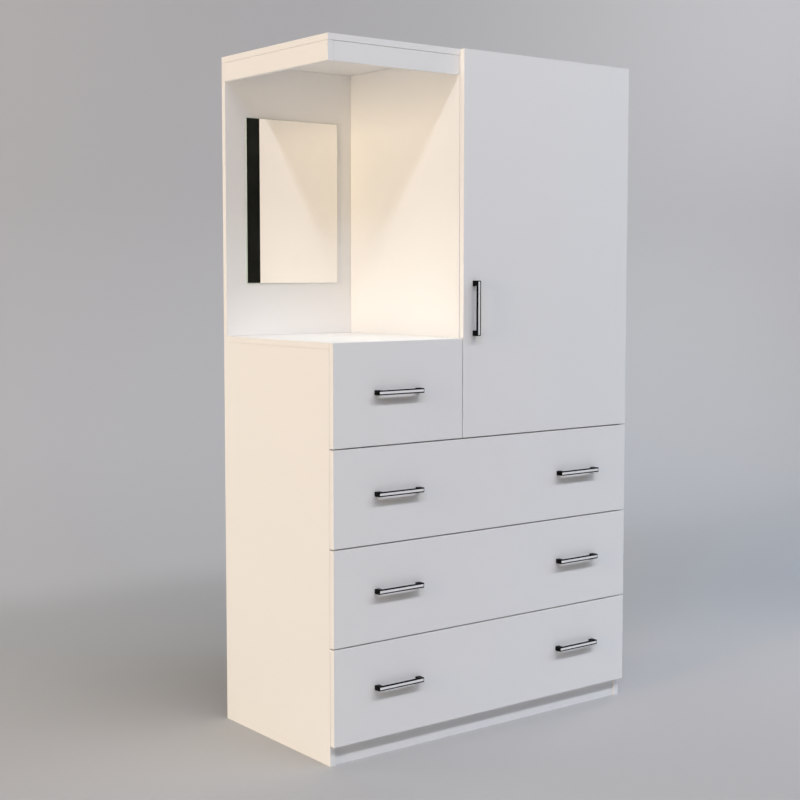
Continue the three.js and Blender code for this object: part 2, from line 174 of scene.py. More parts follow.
class Bench:
    """The workbench: operators of object and edit mode, on one piece at a time."""

    @staticmethod
    def clear() -> None:
        """Deselects every object."""
        bpy.ops.object.select_all(action="DESELECT")

    @staticmethod
    def take(piece: bpy.types.Object) -> None:
        """Makes a piece the only selected one, and the active one.

        Args:
            piece: The piece to work on next.
        """
        Bench.clear()
        piece.select_set(True)
        bpy.context.view_layer.objects.active = piece

    @staticmethod
    @contextmanager
    def editing(piece: bpy.types.Object) -> Iterator[None]:
        """Holds a piece in edit mode, with the selection that its mesh came with.

        Args:
            piece: The piece to edit.

        Returns:
            A context that ends back in object mode.
        """
        Bench.take(piece)
        bpy.ops.object.mode_set(mode="EDIT")
        yield
        bpy.ops.object.mode_set(mode="OBJECT")

    @staticmethod
    def settle(piece: bpy.types.Object, name: str) -> bpy.types.Object:
        """Puts a piece's place, turn and scale into its mesh, and names the two.

        Args:
            piece: The piece, whose object ends at the origin.
            name: The name for it and its mesh.

        Returns:
            The same piece.
        """
        Bench.take(piece)
        bpy.ops.object.transform_apply(location=True, rotation=True, scale=True)
        piece.name = name
        piece.data.name = name
        return piece

    @staticmethod
    def block(name: str, span: Span) -> bpy.types.Object:
        """Adds a box.

        Args:
            name: The piece's name.
            span: What it fills.

        Returns:
            The box, with its place in its mesh.
        """
        Bench.clear()
        bpy.ops.mesh.primitive_cube_add(size=1, location=span.centre, scale=span.size)
        return Bench.settle(bpy.context.object, name)

    @staticmethod
    def rod(
        name: str, centre: Iterable[float], radius: float, length: float, axis: Axis, sides: int
    ) -> bpy.types.Object:
        """Adds a round rod.

        Args:
            name: The piece's name.
            centre: Its middle.
            radius: Its radius.
            length: Its length.
            axis: The axis that it lies along.
            sides: The number of its sides.

        Returns:
            The rod, with its place in its mesh.
        """
        Bench.clear()
        bpy.ops.mesh.primitive_cylinder_add(
            vertices=sides, radius=radius, depth=length, location=Vector(centre), rotation=axis.turn
        )
        return Bench.settle(bpy.context.object, name)

    @staticmethod
    def copy(
        piece: bpy.types.Object, name: str, place: Iterable[float], turn: Triple = (0, 0, 0)
    ) -> bpy.types.Object:
        """Copies a piece with a mesh of its own.

        Args:
            piece: The piece, modelled round the origin.
            name: The copy's name.
            place: Where the copy goes.
            turn: The XYZ angles that it is turned by on the way.

        Returns:
            The copy, with its place and its turn in its mesh.
        """
        Bench.take(piece)
        bpy.ops.object.duplicate(linked=False)
        made = bpy.context.object
        made.location = Vector(place)
        made.rotation_euler = turn
        return Bench.settle(made, name)

    @staticmethod
    def join(pieces: list[bpy.types.Object], name: str) -> bpy.types.Object:
        """Joins pieces into one object, each staying a closed body of its own.

        Args:
            pieces: The pieces, the first of which takes in the others.
            name: The name of the whole.

        Returns:
            The whole.
        """
        Bench.take(pieces[0])
        for piece in pieces:
            piece.select_set(True)
        bpy.ops.object.join()
        return Bench.settle(bpy.context.object, name)

    @staticmethod
    def discard(piece: bpy.types.Object) -> None:
        """Removes a piece that only served as a tool or a pattern."""
        bpy.data.objects.remove(piece, do_unlink=True)

    @staticmethod
    def modify(piece: bpy.types.Object, kind: str, **settings: object) -> None:
        """Adds a modifier and applies it.

        Args:
            piece: The piece that it works on.
            kind: The modifier's type.
            **settings: Its settings by name.
        """
        Bench.take(piece)
        modifier = piece.modifiers.new(kind.title(), kind)
        for setting, value in settings.items():
            setattr(modifier, setting, value)
        bpy.ops.object.modifier_apply(modifier=modifier.name)

    @staticmethod
    def cut(piece: bpy.types.Object, tool: bpy.types.Object) -> None:
        """Cuts a tool's shape out of a piece and throws the tool away."""
        Bench.modify(piece, "BOOLEAN", operation="DIFFERENCE", solver="EXACT", object=tool)
        Bench.discard(tool)

    @staticmethod
    def soften(piece: bpy.types.Object, width: float) -> None:
        """Rounds every sharp edge of a piece."""
        Bench.modify(piece, "BEVEL", width=width, segments=2, limit_method="ANGLE", angle_limit=SHARP)

    @staticmethod
    def smooth(piece: bpy.types.Object) -> None:
        """Shades a piece smooth, but for its sharp edges."""
        Bench.take(piece)
        bpy.ops.object.shade_smooth_by_angle(angle=SHARP)

    @staticmethod
    def _unpick(*groups: bpy.types.bpy_prop_collection) -> None:
        """Deselects whole groups of vertices, edges or faces."""
        for group in groups:
            group.foreach_set("select", [False] * len(group))

    @staticmethod
    def pick_faces(piece: bpy.types.Object, wanted: Callable[[bpy.types.MeshPolygon], bool]) -> None:
        """Selects faces for edit mode, and nothing else.

        Args:
            piece: The piece whose faces are picked.
            wanted: Says of a face whether it is picked.
        """
        bpy.context.tool_settings.mesh_select_mode = (False, False, True)
        mesh = piece.data
        Bench._unpick(mesh.vertices, mesh.edges)
        for face in mesh.polygons:
            face.select = wanted(face)

    @staticmethod
    def pick_edges(piece: bpy.types.Object, wanted: Callable[[Vector, Vector], bool]) -> None:
        """Selects edges for edit mode, and nothing else.

        Args:
            piece: The piece whose edges are picked.
            wanted: Says of an edge, by its two ends, whether it is picked.
        """
        bpy.context.tool_settings.mesh_select_mode = (False, True, False)
        mesh = piece.data
        Bench._unpick(mesh.vertices, mesh.polygons)
        for edge in mesh.edges:
            start, end = (mesh.vertices[i].co for i in edge.vertices)
            edge.select = wanted(start, end)


@dataclass(frozen=True)
class Signal:
    """A socket whose value can be reckoned with, as a number is."""

    graph: "Graph"
    socket: bpy.types.NodeSocket

    def _maths(self, operation: str, *values: "Signal | float") -> "Signal":
        """The result of a Math node on some values."""
        return self.graph.node("ShaderNodeMath", {"operation": operation}, dict(enumerate(values)))

    def __add__(self, other: "Signal | float") -> "Signal":
        """The sum with another value."""
        return self._maths("ADD", self, other)

    __radd__ = __add__

    def __sub__(self, other: "Signal | float") -> "Signal":
        """The difference from another value."""
        return self._maths("SUBTRACT", self, other)

    def __rsub__(self, other: float) -> "Signal":
        """A number less this value."""
        return self._maths("SUBTRACT", other, self)

    def __mul__(self, other: "Signal | float") -> "Signal":
        """The product with another value."""
        return self._maths("MULTIPLY", self, other)

    __rmul__ = __mul__

    def above(self, limit: float) -> "Signal":
        """One where the value is over a limit, and zero elsewhere."""
        return self._maths("GREATER_THAN", self, limit)

    def spread(self, low: float, high: float) -> "Signal":
        """The value stretched so that low becomes 0 and high becomes 1, and held there."""
        values = {"Value": self, "From Min": low, "From Max": high}
        return self.graph.node("ShaderNodeMapRange", {"clamp": True}, values)

    def between(self, ends: tuple[float, float]) -> "Signal":
        """A number that goes from one end to the other as the value goes from 0 to 1."""
        return ends[0] + self * (ends[1] - ends[0])


# What a socket can be given: a signal, a number, a colour or a vector
Value = Signal | float | Paint | Triple


class Graph:
    """The node tree of one material, built from its shader backwards."""

    def __init__(self, tree: bpy.types.ShaderNodeTree) -> None:
        """Takes over a material's node tree.

        Args:
            tree: The tree, with the shader and output that Blender starts it with.
        """
        self.tree = tree
        self.shader = next(node for node in tree.nodes if node.type == "BSDF_PRINCIPLED")
        self.output = next(node for node in tree.nodes if node.type == "OUTPUT_MATERIAL")

    def node(
        self, kind: str, settings: dict[str, object], values: dict[int | str, Value], output: int | str = 0
    ) -> Signal:
        """Adds a node.

        Args:
            kind: The node's type.
            settings: Its own settings, such as an operation. The stops of a ramp are pairs of a place
                and a colour.
            values: What its sockets are given, by index or name.
            output: The socket that the signal is taken from.

        Returns:
            The signal of that socket.
        """
        made = self.tree.nodes.new(kind)
        for setting, value in settings.items():
            if setting == "stops":
                self._set_stops(made.color_ramp, value)
            else:
                setattr(made, setting, value)
        for key, value in values.items():
            self.feed(made.inputs[key], value)
        return Signal(self, made.outputs[output])

    @staticmethod
    def _set_stops(ramp: bpy.types.ColorRamp, stops: list[tuple[float, Paint]]) -> None:
        """Gives a ramp its stops.

        Args:
            ramp: The ramp, with the two stops that Blender starts it with.
            stops: The place and the colour of each stop, two or more.
        """
        while len(ramp.elements) < len(stops):
            ramp.elements.new(1.0)
        for element, (place, colour) in zip(ramp.elements, stops):
            element.position = place
            element.color = colour

    def feed(self, socket: bpy.types.NodeSocket, value: Value) -> None:
        """Links a signal to a socket, or sets the socket to a plain value.

        Args:
            socket: The socket.
            value: What it is given.
        """
        if isinstance(value, Signal):
            self.tree.links.new(value.socket, socket)
        else:
            socket.default_value = value

    def coat(self, sockets: dict[str, Value]) -> None:
        """Feeds the sockets of the shader."""
        for name, value in sockets.items():
            self.feed(self.shader.inputs[name], value)

    def place(self, stretch: Triple = (1, 1, 1)) -> Signal:
        """The place on the object.

        Args:
            stretch: What it is multiplied by along each axis.

        Returns:
            The place in metres, stretched.
        """
        where = self.node("ShaderNodeTexCoord", {}, {}, "Object")
        if stretch == (1, 1, 1):
            return where
        return self.node("ShaderNodeMapping", {}, {"Vector": where, "Scale": stretch})

    def noise(self, scale: float, detail: float = 2, stretch: Triple = (1, 1, 1)) -> Signal:
        """Cloudy noise from 0 to 1, with so many clouds to the metre."""
        values = {"Vector": self.place(stretch), "Scale": scale, "Detail": detail}
        return self.node("ShaderNodeTexNoise", {}, values, "Fac")

    def cells(self, scale: float, output: str = "Color") -> Signal:
        """Random cells, as of chips pressed together, with so many to the metre."""
        values = {"Vector": self.place(), "Scale": scale}
        return self.node("ShaderNodeTexVoronoi", {}, values, output)

    def ramp(self, amount: Signal, stops: list[tuple[float, Paint]]) -> Signal:
        """A colour looked up on a ramp."""
        return self.node("ShaderNodeValToRGB", {"stops": stops}, {"Fac": amount})

    def mix(self, amount: Signal, first: Value, second: Value) -> Signal:
        """A blend of two colours.

        Args:
            amount: How much of the second there is, from 0 to 1.
            first: The first colour, plain or a signal.
            second: The second colour, plain or a signal.

        Returns:
            The blend.
        """
        # A Mix node has a set of sockets for each type of data: these are the ones for colours
        first_colour, second_colour, result = 6, 7, 2
        values = {"Factor": amount, first_colour: first, second_colour: second}
        return self.node("ShaderNodeMix", {"data_type": "RGBA"}, values, result)

    def facing(self, side: Side, least: float = 0.7) -> Signal:
        """One on the faces that look to a side, and zero elsewhere.

        Args:
            side: The side.
            least: The cosine at which a face no longer looks there.

        Returns:
            The mask.
        """
        values = {0: self.node("ShaderNodeNewGeometry", {}, {}, "Normal"), 1: side.value}
        cosine = self.node("ShaderNodeVectorMath", {"operation": "DOT_PRODUCT"}, values, "Value")
        return cosine.above(least)

    def bump(self, height: Signal, depth: float) -> Signal:
        """A normal that follows a height, whose full range is a depth in metres."""
        return self.node("ShaderNodeBump", {}, {"Height": height, "Distance": depth})


@dataclass(frozen=True)
class Finish:
    """A surface finish, made into one material the first time that it is asked for.

    In every finish a scale counts the marks to the metre, a depth is how far they rise, and a pair of
    roughnesses is for where the pattern that dulls the surface is weakest and strongest.
    """

    name: str

    def surface(self, graph: Graph) -> dict[str, Value]:
        """The values and signals for the shader's sockets."""
        raise NotImplementedError

    def material(self) -> bpy.types.Material:
        """The material of this finish.

        Returns:
            The same material each time.
        """
        made = bpy.data.materials.get(self.name)
        if made is None:
            made = bpy.data.materials.new(self.name)
            made.use_nodes = True
            graph = Graph(made.node_tree)
            graph.coat(self.surface(graph))
        return made


@dataclass(frozen=True)
class Melamine(Finish):
    """White pressed melamine: a pearl grain too fine to count, faint clouds and wiped patches."""

    colour: Paint = (0.95, 0.948, 0.942, 1)
    cloudy: Paint = (0.932, 0.93, 0.924, 1)
    roughness: tuple[float, float] = (0.36, 0.48)
    specular: float = 0.45
    cloud_scale: float = 2.6
    wipe_scale: float = 7
    grain_scale: float = 700
    grain_depth: float = 0.012 * MM

    def surface(self, graph: Graph) -> dict[str, Value]:
        """Clouds the colour, wipes patches of the gloss and presses the grain.

        Args:
            graph: The material's graph.

        Returns:
            The values and signals for the shader's sockets.
        """
        clouds = graph.noise(self.cloud_scale, detail=3)
        wiped = graph.noise(self.wipe_scale, detail=4).spread(low=0.35, high=0.7)
        grain = graph.noise(self.grain_scale, detail=3)
        return {
            "Base Color": graph.mix(clouds, self.colour, self.cloudy),
            "Roughness": wiped.between(self.roughness),
            "Specular IOR Level": self.specular,
            "Normal": graph.bump(grain, self.grain_depth),
        }


@dataclass(frozen=True)
class EdgeBand(Finish):
    """The thin plastic band on a board's edge: smoother than the face, with faint scraper marks."""

    colour: Paint = (0.955, 0.953, 0.947, 1)
    worn: Paint = (0.935, 0.932, 0.925, 1)
    roughness: tuple[float, float] = (0.34, 0.46)
    rub_scale: float = 26
    scrape_scale: float = 260
    scrape_depth: float = 0.01 * MM

    def surface(self, graph: Graph) -> dict[str, Value]:
        """Rubs the colour and the gloss, and leaves the marks of the scraper.

        Args:
            graph: The material's graph.

        Returns:
            The values and signals for the shader's sockets.
        """
        rubbed = graph.noise(self.rub_scale, detail=3)
        return {
            "Base Color": graph.mix(rubbed, self.colour, self.worn),
            "Roughness": rubbed.between(self.roughness),
            "Normal": graph.bump(graph.noise(self.scrape_scale), self.scrape_depth),
        }


@dataclass(frozen=True)
class GlueLine(Finish):
    """The hair of glue between an edge band and the face."""

    clean: Paint = (0.82, 0.815, 0.8, 1)
    dusty: Paint = (0.76, 0.75, 0.73, 1)
    roughness: tuple[float, float] = (0.6, 0.8)
    dust_scale: float = 60

    def surface(self, graph: Graph) -> dict[str, Value]:
        """Darkens and dulls the glue where dust has stuck to it.

        Args:
            graph: The material's graph.

        Returns:
            The values and signals for the shader's sockets.
        """
        dust = graph.noise(self.dust_scale, detail=3).spread(low=0.4, high=0.7)
        return {
            "Base Color": graph.mix(dust, self.clean, self.dusty),
            "Roughness": dust.between(self.roughness),
        }


@dataclass(frozen=True)
class ChipCore(Finish):
    """The raw core of a chipboard: pressed chips of straw and bark colour."""

    bark: Paint = (0.2, 0.12, 0.065, 1)
    straw: Paint = (0.47, 0.34, 0.21, 1)
    pith: Paint = (0.62, 0.5, 0.35, 1)
    roughness: tuple[float, float] = (0.8, 0.95)
    chip_scale: float = 420
    chip_depth: float = 0.15 * MM

    def surface(self, graph: Graph) -> dict[str, Value]:
        """Colours the chips from bark over straw to pith, with pits between them.

        Args:
            graph: The material's graph.

        Returns:
            The values and signals for the shader's sockets.
        """
        tone = graph.noise(self.chip_scale, detail=4).spread(low=0.3, high=0.7)
        pits = graph.cells(self.chip_scale, "Distance")
        return {
            "Base Color": graph.ramp(tone, [(0.0, self.bark), (0.45, self.straw), (1.0, self.pith)]),
            "Roughness": pits.between(self.roughness),
            "Normal": graph.bump(tone + pits, self.chip_depth),
        }


@dataclass(frozen=True)
class ThinSheet(Finish):
    """A thin fibre sheet, lacquered white on the side that shows and raw brown on the other."""

    raw_side: Side = Side.BACK
    lacquer: Paint = (0.82, 0.815, 0.8, 1)
    fibre: Paint = (0.36, 0.235, 0.135, 1)
    dark_fibre: Paint = (0.25, 0.155, 0.085, 1)
    show_through: float = 0.15
    roughness: tuple[float, float] = (0.5, 0.8)
    patch_scale: float = 5
    felt_scale: float = 340
    felt_depth: float = 0.04 * MM

    def surface(self, graph: Graph) -> dict[str, Value]:
        """Lays felted fibre on the raw side, and lacquer that it shows through on the others.

        Args:
            graph: The material's graph.

        Returns:
            The values and signals for the shader's sockets.
        """
        felt = graph.noise(self.felt_scale, detail=5).spread(low=0.3, high=0.7)
        patches = graph.noise(self.patch_scale, detail=3)
        brown = graph.mix((felt + patches) * 0.5, self.fibre, self.dark_fibre)
        white = graph.mix(patches * self.show_through, self.lacquer, self.fibre)
        raw = graph.facing(self.raw_side)
        return {
            "Base Color": graph.mix(raw, white, brown),
            "Roughness": raw.between(self.roughness),
            "Normal": graph.bump(felt, self.felt_depth),
        }


@dataclass(frozen=True)
class MirrorSilver(Finish):
    """Silvered float glass: clear and even, with a trace of wiped haze."""

    colour: Paint = (0.955, 0.95, 0.94, 1)
    hazy: Paint = (0.93, 0.925, 0.915, 1)
    haze_scale: float = 11
    haze_roughness: float = 0.02

    def surface(self, graph: Graph) -> dict[str, Value]:
        """Wipes a trace of haze over the silver.

        Args:
            graph: The material's graph.

        Returns:
            The values and signals for the shader's sockets.
        """
        haze = graph.noise(self.haze_scale, detail=4).spread(low=0.55, high=0.9)
        return {
            "Base Color": graph.mix(haze, self.colour, self.hazy),
            "Metallic": 1.0,
            "Roughness": haze * self.haze_roughness,
        }


@dataclass(frozen=True)
class GlassEdge(Finish):
    """The ground and polished edge of the mirror glass."""

    deep: Paint = (0.5, 0.62, 0.56, 1)
    pale: Paint = (0.66, 0.74, 0.7, 1)
    roughness: tuple[float, float] = (0.12, 0.24)
    polish: float = 0.5
    grind_scale: float = 900

    def surface(self, graph: Graph) -> dict[str, Value]:
        """Grinds the green edge unevenly under its polish.

        Args:
            graph: The material's graph.

        Returns:
            The values and signals for the shader's sockets.
        """
        ground = graph.noise(self.grind_scale)
        return {
            "Base Color": graph.mix(ground, self.deep, self.pale),
            "Roughness": ground.between(self.roughness),
            "Coat Weight": self.polish,
        }


@dataclass(frozen=True)
class BlackLacquer(Finish):
    """Black powder coat on the handles, with the fine orange peel that it sets with."""

    colour: Paint = (0.003, 0.003, 0.0033, 1)
    rubbed: Paint = (0.007, 0.007, 0.0075, 1)
    dullness: float = 0.46
    hand_polish: float = 0.1
    specular: float = 0.04
    touch_scale: float = 45
    peel_scale: float = 1500
    peel_depth: float = 0.015 * MM

    def surface(self, graph: Graph) -> dict[str, Value]:
        """Pales and polishes the coat where hands touch it, over its orange peel.

        Args:
            graph: The material's graph.

        Returns:
            The values and signals for the shader's sockets.
        """
        touched = graph.noise(self.touch_scale, detail=3).spread(low=0.45, high=0.75)
        return {
            "Base Color": graph.mix(touched, self.colour, self.rubbed),
            "Roughness": self.dullness - touched * self.hand_polish,
            "Specular IOR Level": self.specular,
            "Normal": graph.bump(graph.noise(self.peel_scale), self.peel_depth),
        }


@dataclass(frozen=True)
class Brushed(Finish):
    """Brushed metal, with fine lines along one axis.

    Attributes:
        axis: The axis that the lines run along.
        pale: The colour of the bright lines.
        deep: The colour of the lines between them.
        smoothness: The lowest roughness.
        metallic: How metallic the surface is.
        line_scale: How many lines there are to the metre.
        line_draw: What is left of that scale along the lines, which draws them out.
        line_depth: How far the lines rise.
        line_roughness: What the lines add to the roughness.
        wear_scale: How many worn patches there are to the metre.
        wear_roughness: What they add to the roughness.
    """

    axis: Axis = Axis.X
    pale: Paint = (0.88, 0.88, 0.87, 1)
    deep: Paint = (0.7, 0.7, 0.7, 1)
    smoothness: float = 0.34
    metallic: float = 1.0
    line_scale: float = 2200
    line_draw: float = 0.02
    line_depth: float = 0.01 * MM
    line_roughness: float = 0.14
    wear_scale: float = 30
    wear_roughness: float = 0.06

    def surface(self, graph: Graph) -> dict[str, Value]:
        """Draws the lines of the brush, and wears patches of them.

        Args:
            graph: The material's graph.

        Returns:
            The values and signals for the shader's sockets.
        """
        stretch = tuple(self.line_draw if i == self.axis.value else 1.0 for i in range(3))
        lines = graph.noise(self.line_scale, detail=3, stretch=stretch)
        worn = graph.noise(self.wear_scale, detail=3)
        return {
            "Base Color": graph.mix(lines, self.deep, self.pale),
            "Metallic": self.metallic,
            "Roughness": self.smoothness + lines * self.line_roughness + worn * self.wear_roughness,
            "Normal": graph.bump(lines, self.line_depth),
        }


@dataclass(frozen=True)
class Plated(Finish):
    """Plated sheet steel: an even grey with the pale blooms of its plating."""

    colour: Paint = (0.5, 0.51, 0.53, 1)
    bloom: Paint = (0.66, 0.67, 0.68, 1)
    roughness: tuple[float, float] = (0.26, 0.42)
    bloom_scale: float = 110
    cloud_scale: float = 40
    skin_scale: float = 700
    skin_depth: float = 0.008 * MM

    def surface(self, graph: Graph) -> dict[str, Value]:
        """Clouds the plating between its blooms.

        Args:
            graph: The material's graph.

        Returns:
            The values and signals for the shader's sockets.
        """
        blooms = graph.node("ShaderNodeSeparateColor", {}, {0: graph.cells(self.bloom_scale)})
        clouds = graph.noise(self.cloud_scale, detail=4)
        return {
            "Base Color": graph.mix((blooms + clouds) * 0.5, self.colour, self.bloom),
            "Metallic": 1.0,
            "Roughness": clouds.between(self.roughness),
            "Normal": graph.bump(graph.noise(self.skin_scale), self.skin_depth),
        }


@dataclass(frozen=True)
class MouldedPlastic(Finish):
    """Grey moulded plastic with a fine spark-eroded grain."""

    colour: Paint = (0.42, 0.42, 0.43, 1)
    paler: Paint = (0.46, 0.46, 0.47, 1)
    roughness: tuple[float, float] = (0.45, 0.6)
    cloud_scale: float = 30
    grain_scale: float = 1400
    grain_depth: float = 0.02 * MM

    def surface(self, graph: Graph) -> dict[str, Value]:
        """Clouds the colour and grains the skin.

        Args:
            graph: The material's graph.

        Returns:
            The values and signals for the shader's sockets.
        """
        grain = graph.noise(self.grain_scale)
        return {
            "Base Color": graph.mix(graph.noise(self.cloud_scale), self.colour, self.paler),
            "Roughness": grain.between(self.roughness),
            "Normal": graph.bump(grain, self.grain_depth),
        }


MELAMINE = Melamine("white_melamine")
EDGE_BAND = EdgeBand("white_edge_band")
GLUE_LINE = GlueLine("edge_glue_line")
CHIP_CORE = ChipCore("raw_chip_core")
BACK_SHEET = ThinSheet("back_sheet_fibre")
DRAWER_SHEET = ThinSheet("drawer_sheet_fibre", raw_side=Side.BELOW)
SILVER = MirrorSilver("mirror_silver")
GLASS_EDGE = GlassEdge("mirror_glass_edge")
BLACK = BlackLacquer("black_powder_coat")
# The strips' near-white, barely metallic colours are painted highlight that stands in for the silver strip's
# reflection of the lamps. The level copy is painted brighter than the upright one, as the light falls on
# each; the brushed lines are real.
LIT_LEVEL_STRIP = Brushed(
    "strip_level_painted_highlight", Axis.X, pale=(1.0, 1.0, 0.99, 1), deep=(0.95, 0.95, 0.94, 1), metallic=0.04
)
SHADED_UPRIGHT_STRIP = Brushed(
    "strip_upright_painted_highlight", Axis.Z, pale=(0.98, 0.97, 0.96, 1), deep=(0.89, 0.88, 0.87, 1), metallic=0.1
)
RAIL_STEEL = Brushed("rail_steel", smoothness=0.18)
ZINC = Plated("zinc_plate")
NICKEL = Plated(
    "nickel_plate", colour=(0.62, 0.61, 0.59, 1), bloom=(0.72, 0.71, 0.69, 1), roughness=(0.14, 0.3)
)
PLASTIC = MouldedPlastic("grey_plastic")


class Coat(IntEnum):
    """The finishes of a board, by their place in its list of materials."""

    FACE = 0
    BAND = 1
    GLUE = 2
    CORE = 3

    @property
    def finish(self) -> Finish:
        """The finish that has this place."""
        return (MELAMINE, EDGE_BAND, GLUE_LINE, CHIP_CORE)[self]


class Slot(Enum):
    """The record's material slots, by name."""

    WHITE_BOARD = "white_board"
    BLACK_METAL = "black_metal"
    BRIGHT_STEEL = "bright_steel"
    MIRROR_GLASS = "mirror_glass"


def fit(
    piece: bpy.types.Object, body: str, finish: Finish | None, nodes: Iterable[str] = ()
) -> bpy.types.Object:
    """Gives a new piece its finish and its body, and the nodes that it stands for.

    Args:
        piece: The piece.
        body: The CAD body that it rides on.
        finish: Its only finish, or None where it has its materials already.
        nodes: The CAD nodes that it replaces.

    Returns:
        The same piece.
    """
    if finish is not None:
        piece.data.materials.append(finish.material())
    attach(piece, body)
    if nodes:
        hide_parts(*nodes)
    LOG.info("%s rides on %s", piece.name, body)
    return piece


def dress(node: str, finish: Finish) -> None:
    """Gives a CAD node that stays its better material.

    Args:
        node: The node.
        finish: Its finish.
    """
    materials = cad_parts[node].data.materials
    materials.clear()
    materials.append(finish.material())
    LOG.info("%s keeps its solid", node)


@dataclass
class Board:
    """A coated board over its CAD node: rounded edges, a band all round and its glue line.

    Attributes:
        node: The CAD node that it stands for.
        body: The CAD body that it rides on.
        raw_sides: The sides where the core is left raw.
        joint: The hairline that is left at its two ends along each axis, towards the boards beside it.
        arris: The radius of its edges.
        band: The thickness of the edge band, which shows round the broad faces.
        glue: The width of the glue line inside the band.
        least_face: The least area of a broad face that shows the two round it.
    """

    node: str
    body: str
    raw_sides: tuple[Side, ...] = ()
    joint: Triple = (0.0, 0.0, 0.0)
    arris: float = 0.5 * MM
    band: float = 0.8 * MM
    glue: float = 0.15 * MM
    least_face: float = 25.6 * MM**2

    def tools(self, span: Span) -> list[bpy.types.Object]:
        """The shapes that are cut out of the board."""
        return []

    def build(self) -> bpy.types.Object:
        """Models the board and fits it.

        Returns:
            The board.
        """
        node = Span.of(self.node)
        span = node.grown(-Vector(self.joint))
        piece = Bench.block(f"{self.node}_board", span)
        for tool in self.tools(span):
            Bench.cut(piece, tool)
        Bench.soften(piece, self.arris)
        self.lay_finishes(piece, node.thin_axis)
        return fit(piece, self.body, None, [self.node])

    def lay_finishes(self, piece: bpy.types.Object, thin: Axis) -> None:
        """Gives the broad faces, the band, the glue line and the raw edges their materials.

        Args:
            piece: The board.
            thin: The axis through its thickness.
        """
        for coat in Coat:
            piece.data.materials.append(coat.finish.material())
        for face in piece.data.polygons:
            if abs(face.normal[thin.value]) > ALIGNED:
                face.material_index = Coat.FACE
            elif any(side.faces(face) for side in self.raw_sides):
                face.material_index = Coat.CORE
            else:
                face.material_index = Coat.BAND
        Bench.pick_faces(piece, self.shows_band)
        for width, coat in ((self.band, Coat.BAND), (self.glue, Coat.GLUE)):
            before = len(piece.data.polygons)
            with Bench.editing(piece):
                bpy.ops.mesh.inset(thickness=width, use_individual=True)
            for face in piece.data.polygons[before:]:
                face.material_index = coat

    def shows_band(self, face: bpy.types.MeshPolygon) -> bool:
        """Whether a face is broad and whole, so that the band and the glue line show round it."""
        return face.material_index == Coat.FACE and len(face.vertices) == 4 and face.area > self.least_face


@dataclass
class SidePanel(Board):
    """An upright side of the carcass, with the rabbet for the back sheets.

    Attributes:
        inward: The direction from the panel to the middle of the carcass.
        rabbet_width: How far the rabbet reaches into the panel.
        rabbet_depth: How far it reaches forward.
    """

    inward: Side = Side.RIGHT
    rabbet_width: float = 8 * MM
    rabbet_depth: float = 3.5 * MM

    def tools(self, span: Span) -> list[bpy.types.Object]:
        """The strip that the rabbet takes out.

        Args:
            span: The box of the panel.

        Returns:
            The strip.
        """
        inner = span.end(self.inward)
        way = self.inward.way.x
        rabbet = Span.between(
            (inner - way * self.rabbet_width, span.high.y - self.rabbet_depth, span.low.z - OVERRUN),
            (inner + way * OVERRUN, span.high.y + OVERRUN, span.high.z + OVERRUN),
        )
        return [Bench.block("rabbet_tool", rabbet)]


@dataclass
class BoxSide(Board):
    """A side of a drawer box, with the groove for its bottom sheet.

    Attributes:
        inward: The direction from the side to the middle of the box.
        groove_rise: From the side's lower edge to the groove.
        groove_height: The height of the groove.
        groove_depth: How far it reaches into the side.
    """

    inward: Side = Side.RIGHT
    groove_rise: float = 10 * MM
    groove_height: float = 3.75 * MM
    groove_depth: float = 8 * MM

    def tools(self, span: Span) -> list[bpy.types.Object]:
        """The strip that the groove takes out.

        Args:
            span: The box of the side.

        Returns:
            The strip.
        """
        inner = span.end(self.inward)
        way = self.inward.way.x
        rise = span.low.z + self.groove_rise
        groove = Span.between(
            (inner - way * self.groove_depth, span.low.y - OVERRUN, rise),
            (inner + way * OVERRUN, span.high.y + OVERRUN, rise + self.groove_height),
        )
        return [Bench.block("groove_tool", groove)]


@dataclass(frozen=True)
class Screw:
    """A pan-head screw with a cross recess, of which only the head shows.

    Attributes:
        radius: The radius of the head.
        height: The height of the head.
        sides: The number of its sides.
        rounding: The rounding of its rim, as a share of its height.
        arm_length: The length of the recess's arms, as a share of the radius.
        arm_width: The width of the arms, as a share of their length.
        tool_height: The height of the tool that cuts the recess, as a share of the head's.
        tool_overrun: How far that tool stands out of the head.
    """

    radius: float = 4 * MM
    height: float = 2.2 * MM
    sides: int = 20
    rounding: float = 0.45
    arm_length: float = 1.05
    arm_width: float = 0.25
    tool_height: float = 0.7
    tool_overrun: float = 0.2 * MM

    def model(self) -> bpy.types.Object:
        """Models a head that stands on the XZ plane and rises towards +Y.

        Returns:
            The head.
        """
        centre = (0, self.height / 2, 0)
        head = Bench.rod("screw_pattern", centre, self.radius, self.height, Axis.Y, self.sides)
        Bench.pick_faces(head, Side.BACK.faces)
        with Bench.editing(head):
            bpy.ops.mesh.bevel(offset=self.height * self.rounding, segments=3, affect="EDGES")
        length = self.radius * self.arm_length
        width = length * self.arm_width
        depth = self.height * self.tool_height
        middle = (0, self.height - depth / 2 + self.tool_overrun, 0)
        for size in ((length, depth, width), (width, depth, length)):
            Bench.cut(head, Bench.block("recess_tool", Span.around(middle, size)))
        Bench.smooth(head)
        return head

    def drive(self, name: str, places: Iterable[Vector], side: Side) -> bpy.types.Object:
        """Sets screws at places, their heads rising towards a side, as one piece.

        Args:
            name: The piece's name.
            places: Where the heads stand.
            side: The direction that they rise in.

        Returns:
            The screws, joined.
        """
        pattern = self.model()
        turn = Side.BACK.way.rotation_difference(side.way).to_euler()
        heads = [Bench.copy(pattern, f"{name}_{i}", place, turn) for i, place in enumerate(places)]
        Bench.discard(pattern)
        return Bench.join(heads, name)


